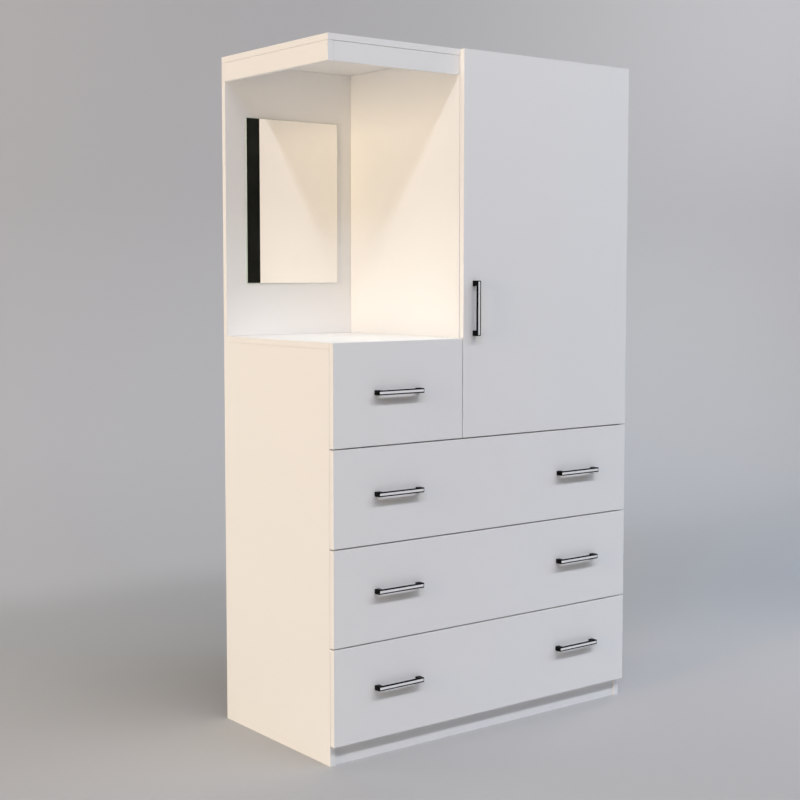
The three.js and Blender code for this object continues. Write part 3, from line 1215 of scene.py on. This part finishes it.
@dataclass
class BarHandle:
    """A square bar on two posts, with a bright strip let into its face.

    Attributes:
        length: The whole length.
        projection: How far the bar's face stands off the front.
        width: The height of the bar's face.
        bar: The thickness of the bar.
        post: The length of each post along the bar.
        rounding: The radius of the two outer corners.
        arris: The radius of the other edges.
        foot_gap: The joint between the posts and the front.
        strip_width: The width of the strip's recess.
        strip_depth: The depth of its recess.
        strip_margin: From the recess's end to the handle's end.
        strip_play: The joint between the strip and its recess.
        strip_setback: How far the strip's edge lies behind the bar's face.
        strip_slope: The width of the slope round the strip's face.
        strip_crown: How far the slope rises.
        strip_arris: The radius of the strip's edges.
    """

    length: float = 144 * MM
    projection: float = 20 * MM
    width: float = 12 * MM
    bar: float = 5 * MM
    post: float = 14 * MM
    rounding: float = 2 * MM
    arris: float = 0.35 * MM
    foot_gap: float = 0.25 * MM
    strip_width: float = 6 * MM
    strip_depth: float = 0.75 * MM
    strip_margin: float = 2.5 * MM
    strip_play: float = 0.04 * MM
    strip_setback: float = 0.05 * MM
    strip_slope: float = 0.35 * MM
    strip_crown: float = 0.05 * MM
    strip_arris: float = 0.12 * MM

    def model_bar(self) -> bpy.types.Object:
        """Models the bar and posts round the origin, with the feet at y = 0 and the face towards -Y.

        Returns:
            The bar.
        """
        half = self.length / 2
        inner = half - self.post
        back = self.bar - self.projection
        span = Span.between((-half, -self.projection, -self.width / 2), (half, back, self.width / 2))
        bar = Bench.block("handle_pattern", span)
        for place in (-inner, inner):
            Bench.pick_faces(bar, lambda face: True)
            with Bench.editing(bar):
                bpy.ops.mesh.bisect(plane_co=(place, 0, 0), plane_no=(1, 0, 0))
        Bench.pick_faces(bar, lambda face: Side.BACK.faces(face) and abs(face.center.x) > inner)
        foot = {"value": (0, -back - self.foot_gap, 0)}
        with Bench.editing(bar):
            bpy.ops.mesh.extrude_region_move(TRANSFORM_OT_translate=foot)
        Bench.pick_edges(bar, lambda start, end: self.is_corner(start) and self.is_corner(end))
        with Bench.editing(bar):
            bpy.ops.mesh.bevel(offset=self.rounding, segments=5, affect="EDGES")
        Bench.cut(bar, Bench.block("strip_tool", self.strip_span(0, OVERRUN)))
        Bench.soften(bar, self.arris)
        Bench.smooth(bar)
        return bar

    def is_corner(self, point: Vector) -> bool:
        """Whether a point of the pattern is at an end of the bar's face."""
        return abs(abs(point.x) - self.length / 2) < NEAR and abs(point.y + self.projection) < NEAR

    def strip_span(self, play: float, overrun: float) -> Span:
        """The box of the strip's recess.

        Args:
            play: What is taken off round it.
            overrun: How far it stands past the bar's face, less than nothing where it lies behind it.

        Returns:
            The box.
        """
        half_length = self.length / 2 - self.strip_margin - play
        half_width = self.strip_width / 2 - play
        front = -self.projection - overrun
        back = -self.projection + self.strip_depth - play
        return Span.between((-half_length, front, -half_width), (half_length, back, half_width))

    def model_strip(self) -> bpy.types.Object:
        """Models the strip in its place in the bar.

        Returns:
            The strip.
        """
        strip = Bench.block("strip_pattern", self.strip_span(self.strip_play, -self.strip_setback))
        Bench.pick_faces(strip, Side.FRONT.faces)
        with Bench.editing(strip):
            bpy.ops.mesh.inset(thickness=self.strip_slope)
            bpy.ops.transform.translate(value=(0, -self.strip_crown, 0))
        Bench.soften(strip, self.strip_arris)
        return strip


@dataclass(frozen=True)
class HandlePlace:
    """Where a handle goes: its CAD node, its body, and the node of the front that carries it."""

    node: str
    body: str
    front: str


@dataclass
class HandleSet:
    """All the handles, modelled once and copied to the place of each CAD handle."""

    handle: BarHandle
    screw: Screw
    places: list[HandlePlace]

    def build(self) -> None:
        """Mounts a bar, a strip and two screws at each place."""
        bar = self.handle.model_bar()
        strip = self.handle.model_strip()
        for place in self.places:
            self.mount(place, bar, strip)
        Bench.discard(bar)
        Bench.discard(strip)

    def mount(self, place: HandlePlace, bar: bpy.types.Object, strip: bpy.types.Object) -> None:
        """Mounts one handle, level or upright as its node is.

        Args:
            place: Where it goes.
            bar: The pattern of its bar.
            strip: The pattern of its strip.
        """
        span = Span.of(place.node)
        upright = span.size.z > span.size.x
        turn = (0, QUARTER_TURN, 0) if upright else (0, 0, 0)
        foot = Vector((span.centre.x, span.low.y + self.handle.projection, span.centre.z))
        made = Bench.copy(bar, f"{place.node}_bar", foot, turn)
        fit(made, place.body, BLACK, [place.node])
        made = Bench.copy(strip, f"{place.node}_strip", foot, turn)
        # Level and upright strips take copies of one finish, painted lighter and darker as the light falls on
        # each
        fit(made, place.body, SHADED_UPRIGHT_STRIP if upright else LIT_LEVEL_STRIP)
        reach = (self.handle.length - self.handle.post) / 2
        along = Vector((0, 0, reach)) if upright else Vector((reach, 0, 0))
        behind = Vector((foot.x, Span.of(place.front).high.y, foot.z))
        made = self.screw.drive(f"{place.node}_screws", [behind - along, behind + along], Side.BACK)
        fit(made, place.body, ZINC)


@dataclass
class Drawer:
    """A drawer: its front, box, bottom sheet and the members that slide in the runners.

    Attributes:
        name: The name of its body, and the start of its nodes' names.
        member_height: The height of a sliding member.
        member_reach: How far it reaches into the channel.
        member_wall: The thickness of its sheet.
        member_play: The joint between it and the box.
        member_setback: How far its front end lies behind the box's.
        member_arris: The radius of its edges.
    """

    name: str
    member_height: float = 30 * MM
    member_reach: float = 9.6 * MM
    member_wall: float = 1.2 * MM
    member_play: float = 0.05 * MM
    member_setback: float = 2 * MM
    member_arris: float = 0.25 * MM

    def build(self) -> None:
        """Models all the pieces that ride with the drawer, but for its handles."""
        Board(f"{self.name}_front", self.name, joint=FRONT_JOINT).build()
        Board(f"{self.name}_back", self.name, (Side.BELOW,)).build()
        for hand in HANDS:
            node = f"{self.name}_{hand.word}_side"
            BoxSide(node, self.name, (Side.BACK, Side.BELOW), inward=hand.opposite).build()
            self.build_member(hand)
            dress(f"{self.name}_{hand.word}_runner", ZINC)
        dress(f"{self.name}_bottom", DRAWER_SHEET)

    def build_member(self, hand: Side) -> None:
        """Models the sliding member on one side, a shallow channel with its open side to the carcass.

        Args:
            hand: The side of the drawer that it is on.
        """
        side = Span.of(f"{self.name}_{hand.word}_side")
        rise = Span.of(f"{self.name}_{hand.word}_runner").centre.z
        near = side.end(hand) + hand.way.x * self.member_play
        far = near + hand.way.x * self.member_reach
        half = self.member_height / 2
        span = Span.between(
            (near, side.low.y + self.member_setback, rise - half), (far, side.high.y, rise + half)
        )
        member = Bench.block(f"{self.name}_{hand.word}_slide", span)
        Bench.pick_faces(member, hand.faces)
        hollow = hand.opposite.way * (self.member_reach - self.member_wall)
        with Bench.editing(member):
            bpy.ops.mesh.inset(thickness=self.member_wall)
            bpy.ops.mesh.extrude_region_move(TRANSFORM_OT_translate={"value": tuple(hollow)})
        Bench.soften(member, self.member_arris)
        fit(member, self.name, ZINC)


@dataclass(frozen=True)
class CupFitting:
    """A hinge cup pressed into the door: a turned cup with a rim, two ears and their screws.

    Attributes:
        radius: The radius of the bore in the door.
        play: The gap between the bore and the cup.
        wall: The wall of the cup.
        rim: How far the cup stands out of the door.
        arris: The radius of the cup's edges.
        sides: The number of the cup's sides.
        ear_thickness: The thickness of an ear.
        ear_width: The width of an ear.
        ear_rounding: The radius of its corners, as a share of its width.
        ear_arris: The radius of its edges.
        screw: The screws through the ears.
        screw_rise: From the cup's centre to each screw.
    """

    radius: float = 17.5 * MM
    play: float = 0.3 * MM
    wall: float = 1 * MM
    rim: float = 0.5 * MM
    arris: float = 0.2 * MM
    sides: int = 64
    ear_thickness: float = 1 * MM
    ear_width: float = 13 * MM
    ear_rounding: float = 0.4
    ear_arris: float = 0.15 * MM
    screw: Screw = Screw(3.2 * MM, 1.6 * MM)
    screw_rise: float = 24 * MM

    @property
    def outer(self) -> float:
        """The outer radius of the cup."""
        return self.radius - self.play

    def middle(self, span: Span) -> float:
        """The x of a cup's middle: its ears are set off to the left, so its right end tells."""
        return span.high.x - self.outer

    def build(self, node: str) -> None:
        """Models the cup over its node.

        Args:
            node: The CAD node of the cup.
        """
        span = Span.of(node)
        depth = Span.of("door_panel").high.y + self.rim - span.low.y
        centre = Vector((self.middle(span), span.low.y + depth / 2, span.centre.z))
        shell = Bench.join([self.model_cup(centre, depth), self.model_ears(span, centre)], f"{node}_shell")
        Bench.smooth(shell)
        fit(shell, "door", NICKEL, [node])
        rise = Vector((0, 0, self.screw_rise))
        seat = Vector((span.low.x + self.ear_width / 2, span.high.y, centre.z))
        heads = self.screw.drive(f"{node}_screws", [seat - rise, seat + rise], Side.BACK)
        fit(heads, "door", ZINC)

    def model_cup(self, centre: Vector, depth: float) -> bpy.types.Object:
        """Models the cup, open to the back.

        Args:
            centre: Its middle.
            depth: Its depth.

        Returns:
            The cup.
        """
        cup = Bench.rod("cup", centre, self.outer, depth, Axis.Y, self.sides)
        Bench.pick_faces(cup, Side.BACK.faces)
        with Bench.editing(cup):
            bpy.ops.mesh.inset(thickness=self.wall)
            bpy.ops.mesh.extrude_region_move(TRANSFORM_OT_translate={"value": (0, self.wall - depth, 0)})
        Bench.soften(cup, self.arris)
        return cup

    def model_ears(self, span: Span, centre: Vector) -> bpy.types.Object:
        """Models the flange with its two rounded ears, open over the cup.

        Args:
            span: The box of the cup's node, whose ends are the ears' ends.
            centre: The middle of the cup.

        Returns:
            The flange.
        """
        low = (span.low.x, span.high.y - self.ear_thickness, span.low.z)
        high = (span.low.x + self.ear_width, span.high.y, span.high.z)
        flange = Bench.block("ears", Span.between(low, high))
        Bench.pick_edges(flange, lambda start, end: abs(start.y - end.y) > self.ear_thickness / 2)
        with Bench.editing(flange):
            bpy.ops.mesh.bevel(offset=self.ear_width * self.ear_rounding, segments=6, affect="EDGES")
        # The tool is as long as the cup is wide, so it passes through both faces of the flange
        tool = Bench.rod("ear_tool", centre, self.outer - self.wall, 2 * self.radius, Axis.Y, self.sides)
        Bench.cut(flange, tool)
        Bench.soften(flange, self.ear_arris)
        return flange


@dataclass
class DoorPanel(Board):
    """The door, with a blind bore behind each hinge cup.

    Attributes:
        cup: The cup that is pressed into each bore.
        cup_nodes: The CAD nodes of the cups.
        bore_depth: The depth of a bore.
        bore_sides: The number of its sides.
    """

    cup: CupFitting = CupFitting()
    cup_nodes: tuple[str, ...] = ()
    bore_depth: float = 12.5 * MM
    bore_sides: int = 48

    def tools(self, span: Span) -> list[bpy.types.Object]:
        """The rods that the bores take out.

        Args:
            span: The box of the door.

        Returns:
            The rods.
        """
        length = self.bore_depth + OVERRUN
        depth = span.high.y + OVERRUN - length / 2
        rods = []
        for cup in map(Span.of, self.cup_nodes):
            centre = (self.cup.middle(cup), depth, cup.centre.z)
            rods.append(Bench.rod("bore_tool", centre, self.cup.radius, length, Axis.Y, self.bore_sides))
        return rods


@dataclass
class Door:
    """The cupboard door with its two hinge cups, and the arms and links that carry it.

    Attributes:
        levels: The two hinges, as their nodes' names say it.
        cup: The cup of each hinge.
        plate_thickness: The thickness of the mounting plate that is one piece with each arm.
        plate_screw: The screws of a plate.
        plate_screw_rise: From the middle of a plate to each screw.
        plate_screw_setback: From the arm's rear end to the screws.
    """

    levels: tuple[str, str] = ("lower", "upper")
    cup: CupFitting = CupFitting()
    plate_thickness: float = 2 * MM
    plate_screw: Screw = Screw(3.4 * MM, 1.8 * MM)
    plate_screw_rise: float = 16 * MM
    plate_screw_setback: float = 18 * MM

    def build(self) -> None:
        """Models the door and its hinges, but for its handle."""
        cups = tuple(f"{level}_hinge_cup" for level in self.levels)
        DoorPanel("door_panel", "door", joint=FRONT_JOINT, cup=self.cup, cup_nodes=cups).build()
        for level, cup in zip(self.levels, cups):
            self.cup.build(cup)
            dress(f"{level}_hinge_arm", NICKEL)
            dress(f"{level}_hinge_link", NICKEL)
            self.build_plate_screws(level)

    def build_plate_screws(self, level: str) -> None:
        """Sets the two screws of a hinge's mounting plate.

        Args:
            level: Which hinge.
        """
        arm = Span.of(f"{level}_hinge_arm")
        seat = Vector(
            (arm.high.x - self.plate_thickness, arm.high.y - self.plate_screw_setback, arm.centre.z)
        )
        rise = Vector((0, 0, self.plate_screw_rise))
        name = f"{level}_hinge_plate_screws"
        heads = self.plate_screw.drive(name, [seat - rise, seat + rise], Side.LEFT)
        fit(heads, "carcass", ZINC)


@dataclass
class HangingRail:
    """The oval tube that hangers hook over, in a socket at each end.

    Attributes:
        wall: The wall of the tube.
        roundness: The radius of its upper and lower edge, as a share of its thickness.
        socket_length: How far a socket reaches along the rail.
        socket_margin: How far it stands out round the rail.
        flange_length: How thick its flange against the panel is.
        flange_margin: How far the flange stands out round the rail.
        socket_arris: The radius of the socket's edges.
    """

    wall: float = 1.25 * MM
    roundness: float = 0.499
    socket_length: float = 12 * MM
    socket_margin: float = 2.2 * MM
    flange_length: float = 3 * MM
    flange_margin: float = 5.28 * MM
    socket_arris: float = 0.5 * MM

    def build(self) -> None:
        """Models the tube and its two sockets."""
        span = Span.of("hanging_rail")
        tube = self.model_oval("hanging_rail_tube", span)
        Bench.pick_faces(tube, lambda face: any(hand.faces(face) for hand in HANDS))
        with Bench.editing(tube):
            bpy.ops.mesh.inset(thickness=self.wall)
            bpy.ops.mesh.bridge_edge_loops()
        Bench.smooth(tube)
        fit(tube, "carcass", RAIL_STEEL, ["hanging_rail"])
        for hand in HANDS:
            self.build_socket(hand, span)

    def model_oval(self, name: str, span: Span) -> bpy.types.Object:
        """Models a bar along X with round upper and lower edges.

        Args:
            name: The piece's name.
            span: What it fills.

        Returns:
            The bar.
        """
        bar = Bench.block(name, span)
        Bench.pick_edges(bar, lambda start, end: abs(start.x - end.x) > span.size.x / 2)
        with Bench.editing(bar):
            bpy.ops.mesh.bevel(offset=span.size.y * self.roundness, segments=12, affect="EDGES")
        return bar

    def build_socket(self, hand: Side, rail: Span) -> None:
        """Models one socket, with its flange against the panel.

        Args:
            hand: The end of the rail that it holds.
            rail: The box of the rail.
        """
        panel = rail.end(hand)
        sizes = ((self.socket_length, self.socket_margin), (self.flange_length, self.flange_margin))
        collars = []
        for length, margin in sizes:
            inner = panel - hand.way.x * length
            span = Span.between((panel, rail.low.y, rail.low.z), (inner, rail.high.y, rail.high.z))
            collar = self.model_oval("collar", span.grown((0, margin, margin)))
            Bench.soften(collar, self.socket_arris)
            Bench.smooth(collar)
            collars.append(collar)
        fit(Bench.join(collars, f"rail_{hand.word}_socket"), "carcass", PLASTIC)


@dataclass
class NicheMirror:
    """The frameless mirror on the niche back, its edge ground to a narrow flat."""

    flat: float = 0.9 * MM

    def build(self) -> None:
        """Models the glass, silvered in front and ground at its edge."""
        glass = Bench.block("mirror_glass", Span.of("mirror"))
        Bench.pick_faces(glass, Side.FRONT.faces)
        with Bench.editing(glass):
            bpy.ops.mesh.bevel(offset=self.flat, segments=1, affect="EDGES")
        finishes = (GLASS_EDGE, SILVER)
        for finish in finishes:
            glass.data.materials.append(finish.material())
        for face in glass.data.polygons:
            face.material_index = finishes.index(SILVER if Side.FRONT.faces(face) else GLASS_EDGE)
        fit(glass, "carcass", None, ["mirror"])


@dataclass
class BackPins:
    """The panel pins that hold the thin back sheets.

    Attributes:
        spacing: The most that two pins are apart.
        margin: From a sheet's edge to its pins.
        radius: The radius of a head.
        height: The height of a head's rim.
        sides: The number of its sides.
        slope: The width of the slope round a head, as a share of the radius.
        crown: How far the slope rises, as a share of the height.
    """

    spacing: float = 160 * MM
    margin: float = 4.5 * MM
    radius: float = 1.4 * MM
    height: float = 0.3 * MM
    sides: int = 10
    slope: float = 0.3
    crown: float = 0.4

    def places(self, sheet: Span) -> list[Vector]:
        """The places of the pins round one sheet, their heads sunk level with it.

        Args:
            sheet: The box of the sheet.

        Returns:
            The places.
        """
        depth = sheet.high.y - self.height * (1 + self.crown)
        low_x, high_x = sheet.low.x + self.margin, sheet.high.x - self.margin
        low_z, high_z = sheet.low.z + self.margin, sheet.high.z - self.margin
        columns = math.ceil((high_x - low_x) / self.spacing)
        rows = math.ceil((high_z - low_z) / self.spacing)
        found = []
        for i in range(columns + 1):
            x = low_x + (high_x - low_x) * i / columns
            found += [Vector((x, depth, low_z)), Vector((x, depth, high_z))]
        for i in range(1, rows):
            z = low_z + (high_z - low_z) * i / rows
            found += [Vector((low_x, depth, z)), Vector((high_x, depth, z))]
        return found

    def build(self, nodes: Iterable[str]) -> None:
        """Drives the pins of all the sheets, as one piece.

        Args:
            nodes: The sheets' nodes.
        """
        centre = (0, self.height / 2, 0)
        pattern = Bench.rod("pin_pattern", centre, self.radius, self.height, Axis.Y, self.sides)
        Bench.pick_faces(pattern, Side.BACK.faces)
        with Bench.editing(pattern):
            bpy.ops.mesh.inset(thickness=self.radius * self.slope)
            bpy.ops.transform.translate(value=(0, self.height * self.crown, 0))
        places = [place for node in nodes for place in self.places(Span.of(node))]
        pins = [Bench.copy(pattern, f"pin_{i}", place) for i, place in enumerate(places)]
        Bench.discard(pattern)
        fit(Bench.join(pins, "back_sheet_pins"), "carcass", ZINC)


@dataclass
class Carcass:
    """The boards that stay put, the back sheets with their pins, the mirror and the rail.

    Attributes:
        raw_backed: The boards that are only raw behind.
        plinths: The boards that are raw above and below.
        sheets: The thin sheets behind the boards.
        hairline: The joint round the canopy's two rails.
    """

    raw_backed: tuple[str, ...] = (
        "bottom_panel", "middle_panel", "divider_panel", "niche_shelf_panel", "top_panel"
    )
    plinths: tuple[str, ...] = ("front_plinth", "rear_plinth")
    sheets: tuple[str, ...] = ("drawer_back_sheet", "small_drawer_back_sheet", "wardrobe_back_sheet")
    hairline: float = 0.25 * MM

    def build(self) -> None:
        """Models everything that rides on the carcass, but for the runners and hinge arms."""
        for hand in HANDS:
            node = f"{hand.word}_side_panel"
            SidePanel(node, "carcass", (Side.BACK, Side.BELOW), inward=hand.opposite).build()
        for node in self.raw_backed:
            Board(node, "carcass", (Side.BACK,)).build()
        Board("niche_back_panel", "carcass").build()
        Board("canopy_side_rail", "carcass", joint=(0.0, self.hairline, self.hairline)).build()
        Board("canopy_front_rail", "carcass", joint=(self.hairline, 0.0, self.hairline)).build()
        for node in self.plinths:
            Board(node, "carcass", (Side.BELOW, Side.ABOVE)).build()
        for node in self.sheets:
            dress(node, BACK_SHEET)
        BackPins().build(self.sheets)
        NicheMirror().build()
        HangingRail().build()


@dataclass
class Backdrop:
    """A seamless grey sweep: a level floor that curves up into a wall behind the object.

    Attributes:
        half_width: From the middle to each side.
        front: Where the floor ends in front.
        wall: Where the wall stands.
        curve: The radius between floor and wall.
        steps: The number of strips in that curve.
        height: The height of the wall.
        colour: Its colour.
    """

    half_width: float = 14.0
    front: float = -9.0
    wall: float = 3.0
    curve: float = 1.6
    steps: int = 24
    height: float = 7.0
    colour: Paint = (0.517, 0.517, 0.519, 1)

    def build(self) -> None:
        """Models the sweep."""
        foot = self.wall - self.curve
        Bench.clear()
        bpy.ops.mesh.primitive_plane_add(size=1, location=(0, (self.front + foot) / 2, 0))
        sweep = bpy.context.object
        sweep.scale = (2 * self.half_width, foot - self.front, 1)
        Bench.settle(sweep, "backdrop")
        Bench.pick_edges(sweep, lambda start, end: all(abs(p.y - foot) < NEAR for p in (start, end)))
        rise = {"value": (0, 0, self.height - self.curve)}
        with Bench.editing(sweep):
            bpy.ops.mesh.spin(
                steps=self.steps, angle=-QUARTER_TURN, center=(0, foot, self.curve), axis=(1, 0, 0)
            )
            bpy.ops.mesh.extrude_region_move(TRANSFORM_OT_translate=rise)
        Bench.smooth(sweep)
        sweep.data.materials.append(self.material())

    def material(self) -> bpy.types.Material:
        """Matt grey, and see-through from behind so that the object shows from every side.

        Returns:
            The material.
        """
        made = bpy.data.materials.new("backdrop_grey")
        made.use_nodes = True
        graph = Graph(made.node_tree)
        graph.coat({"Base Color": self.colour, "Roughness": 0.9, "Specular IOR Level": 0.1})
        behind = graph.node("ShaderNodeNewGeometry", {}, {}, "Backfacing")
        clear = graph.node("ShaderNodeBsdfTransparent", {}, {})
        solid = Signal(graph, graph.shader.outputs[0])
        mixed = graph.node("ShaderNodeMixShader", {}, {0: behind, 1: solid, 2: clear})
        graph.feed(graph.output.inputs[0], mixed)
        return made


@dataclass(frozen=True)
class RoomShadeSheet(Finish):
    """A dark sheet that stands for the shade of an unlit room, seen only in reflections."""

    colour: Paint = (0.022, 0.022, 0.018, 1)
    # The paler colour is painted light on the crests of the painted creases, not wear
    worn: Paint = (0.05, 0.052, 0.042, 1)
    painted_fold_scale: float = 3

    def surface(self, graph: Graph) -> dict[str, Value]:
        """Paints shade and light in creases that aren't modelled, with no gloss at all.

        Args:
            graph: The material's graph.

        Returns:
            The values and signals for the shader's sockets.
        """
        painted_folds = graph.noise(self.painted_fold_scale, detail=3).spread(low=0.3, high=0.8)
        return {
            "Base Color": graph.mix(painted_folds, self.colour, self.worn),
            "Roughness": 1.0,
            "Specular IOR Level": 0.0,
        }


@dataclass
class DarkCard:
    """A dark card at the front right, which only reflections show: it puts painted shade, standing for an
    unlit room, into the mirror.

    Attributes:
        corner: Its lowest corner.
        other: Its highest corner.
        hidden: The kinds of rays that don't meet it.
    """

    corner: Triple = (1.6, -3.6, 0.02)
    other: Triple = (4.6, -3.5, 3.4)
    hidden: tuple[str, ...] = ("camera", "diffuse", "shadow", "transmission", "volume_scatter")

    def build(self) -> None:
        """Models the card and hides it from every ray but glossy ones."""
        card = Bench.block("dark_card", Span.between(self.corner, self.other))
        card.data.materials.append(RoomShadeSheet("dark_card_room_shade").material())
        for ray in self.hidden:
            setattr(card, f"visible_{ray}", False)


@dataclass(frozen=True)
class Lamp:
    """An area lamp.

    Attributes:
        name: Its name.
        place: Where it stands.
        aim: The point that it faces.
        size: Its width and height.
        power: Its power in watts.
        colour: Its colour.
        spread: The angle of its beam, in degrees.
    """

    name: str
    place: Triple
    aim: Triple
    size: tuple[float, float]
    power: float
    colour: Triple
    spread: float = 180

    def build(self) -> None:
        """Adds the lamp, unseen by the camera."""
        bpy.ops.object.light_add(type="AREA", location=self.place)
        lamp = bpy.context.object
        lamp.name = self.name
        lamp.data.shape = "RECTANGLE"
        lamp.data.size, lamp.data.size_y = self.size
        lamp.data.energy = self.power
        lamp.data.color = self.colour
        lamp.data.spread = math.radians(self.spread)
        way = Vector(self.aim) - Vector(self.place)
        lamp.rotation_euler = way.to_track_quat("-Z", "Y").to_euler()
        lamp.visible_camera = False


# A long strip overhead in front lights the fronts, a tall warm lamp the left side. The others fill
# in one place each, and the last is the light that the mirror throws down on the niche shelf.
LAMPS = (
    Lamp("front_strip", (-1.0, -8.2, 11.6), (-1.0, 0, 1.0), (24, 1.2), 1173, (0.975, 0.949, 1)),
    Lamp("front_strip_end", (-11.0, -8.2, 11.6), (0, 0, 1.0), (4, 1.2), 181.3, (0.0953, 0.414, 1)),
    Lamp("top_front", (0.4, -2.6, 3.8), (0, -0.2, 1.6), (1.6, 0.8), 17.32, (0.964, 1, 0.965)),
    Lamp("warm_left", (-7.0, -1.2, 1.9), (0, 0, 0.9), (1.6, 3.6), 261.1, (1, 0.788, 0.532)),
    Lamp("wall_wash", (6.0, -1.0, 4.6), (5.0, 3.0, 2.1), (4, 2), 44.9, (0.961, 0.982, 1), 90),
    Lamp("wall_left", (-3.5, -0.5, 5.0), (-0.6, 3.0, 2.6), (2, 1), 6.644, (1, 0.913, 0.922), 60),
    Lamp("floor_back", (-2.6, 2.4, 3.6), (-0.4, 1.1, 0.0), (1.5, 1), 2.913, (1, 0.974, 0.764), 50),
    Lamp("floor_right", (6.0, -3.0, 4.2), (2.4, 0.2, 0.0), (3, 2), 21.67, (0.581, 0.798, 1), 60),
    Lamp("floor_side", (3.2, 0.4, 3.6), (1.0, -0.8, 0.0), (1, 1), 2.126, (1, 0.872, 0.851), 40),
    Lamp(
        "mirror_bounce", (-0.33, 0.08, 1.43), (-0.33, -0.53, 0.64), (0.3, 0.4), 0.1851, (0.904, 1, 0.911), 100
    ),
)


@dataclass
class Studio:
    """The camera, the sweep, the dark card, the lamps and the faint light all round.

    Attributes:
        camera_place: Where the camera stands.
        heading: The camera's turn from +Y towards +X, in degrees.
        tilt: How far it looks down, in degrees.
        focal_length: Its lens, in millimetres.
        sensor: The width of its sensor, in millimetres.
        rise: Its upward shift, as a share of the frame.
        air: The colour of the light all round.
        air_strength: The strength of that light.
        view: How the light is turned into the picture's colours.
    """

    camera_place: Triple = (-2.49055, -3.09195, 1.21911)
    heading: float = 37.542
    tilt: float = 4.187
    focal_length: float = 64.343
    sensor: float = 36
    rise: float = -0.02474
    air: Paint = (0.020, 0.024, 0.030, 1)
    air_strength: float = 1.0
    view: str = "Standard"

    def build(self) -> None:
        """Sets up everything that isn't part of the object."""
        self.build_camera()
        self.build_air()
        Backdrop().build()
        DarkCard().build()
        for lamp in LAMPS:
            lamp.build()
        bpy.context.scene.view_settings.view_transform = self.view

    def build_camera(self) -> None:
        """Adds the camera at the photograph's viewpoint."""
        turn = (math.radians(90 - self.tilt), 0, -math.radians(self.heading))
        bpy.ops.object.camera_add(location=self.camera_place, rotation=turn)
        camera = bpy.context.object
        camera.data.sensor_width = self.sensor
        camera.data.lens = self.focal_length
        camera.data.shift_y = self.rise
        bpy.context.scene.camera = camera

    def build_air(self) -> None:
        """Adds the faint light that comes from all round."""
        world = bpy.data.worlds.new("studio_air")
        bpy.context.scene.world = world
        world.use_nodes = True
        background = next(node for node in world.node_tree.nodes if node.type == "BACKGROUND")
        background.inputs["Color"].default_value = self.air
        background.inputs["Strength"].default_value = self.air_strength


def handle_places() -> list[HandlePlace]:
    """The places of all the handles.

    Returns:
        The door's one, the small drawer's one, and two for each wide drawer.
    """
    places = [
        HandlePlace("door_handle", "door", "door_panel"),
        HandlePlace(f"{SMALL_DRAWER}_handle", SMALL_DRAWER, f"{SMALL_DRAWER}_front"),
    ]
    for name in WIDE_DRAWERS:
        places += [HandlePlace(f"{name}_{hand.word}_handle", name, f"{name}_front") for hand in HANDS]
    return places


def main() -> None:
    """Builds the studio, then each sub-assembly over its solids."""
    logging.basicConfig(level=logging.INFO, format="%(message)s")
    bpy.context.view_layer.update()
    drawers = [Drawer(name) for name in (*WIDE_DRAWERS, SMALL_DRAWER)]
    handles = HandleSet(BarHandle(), Screw(), handle_places())
    for assembly in (Studio(), Carcass(), *drawers, Door(), handles):
        LOG.info("building %s", type(assembly).__name__)
        assembly.build()


if __name__ == "__main__":
    main()
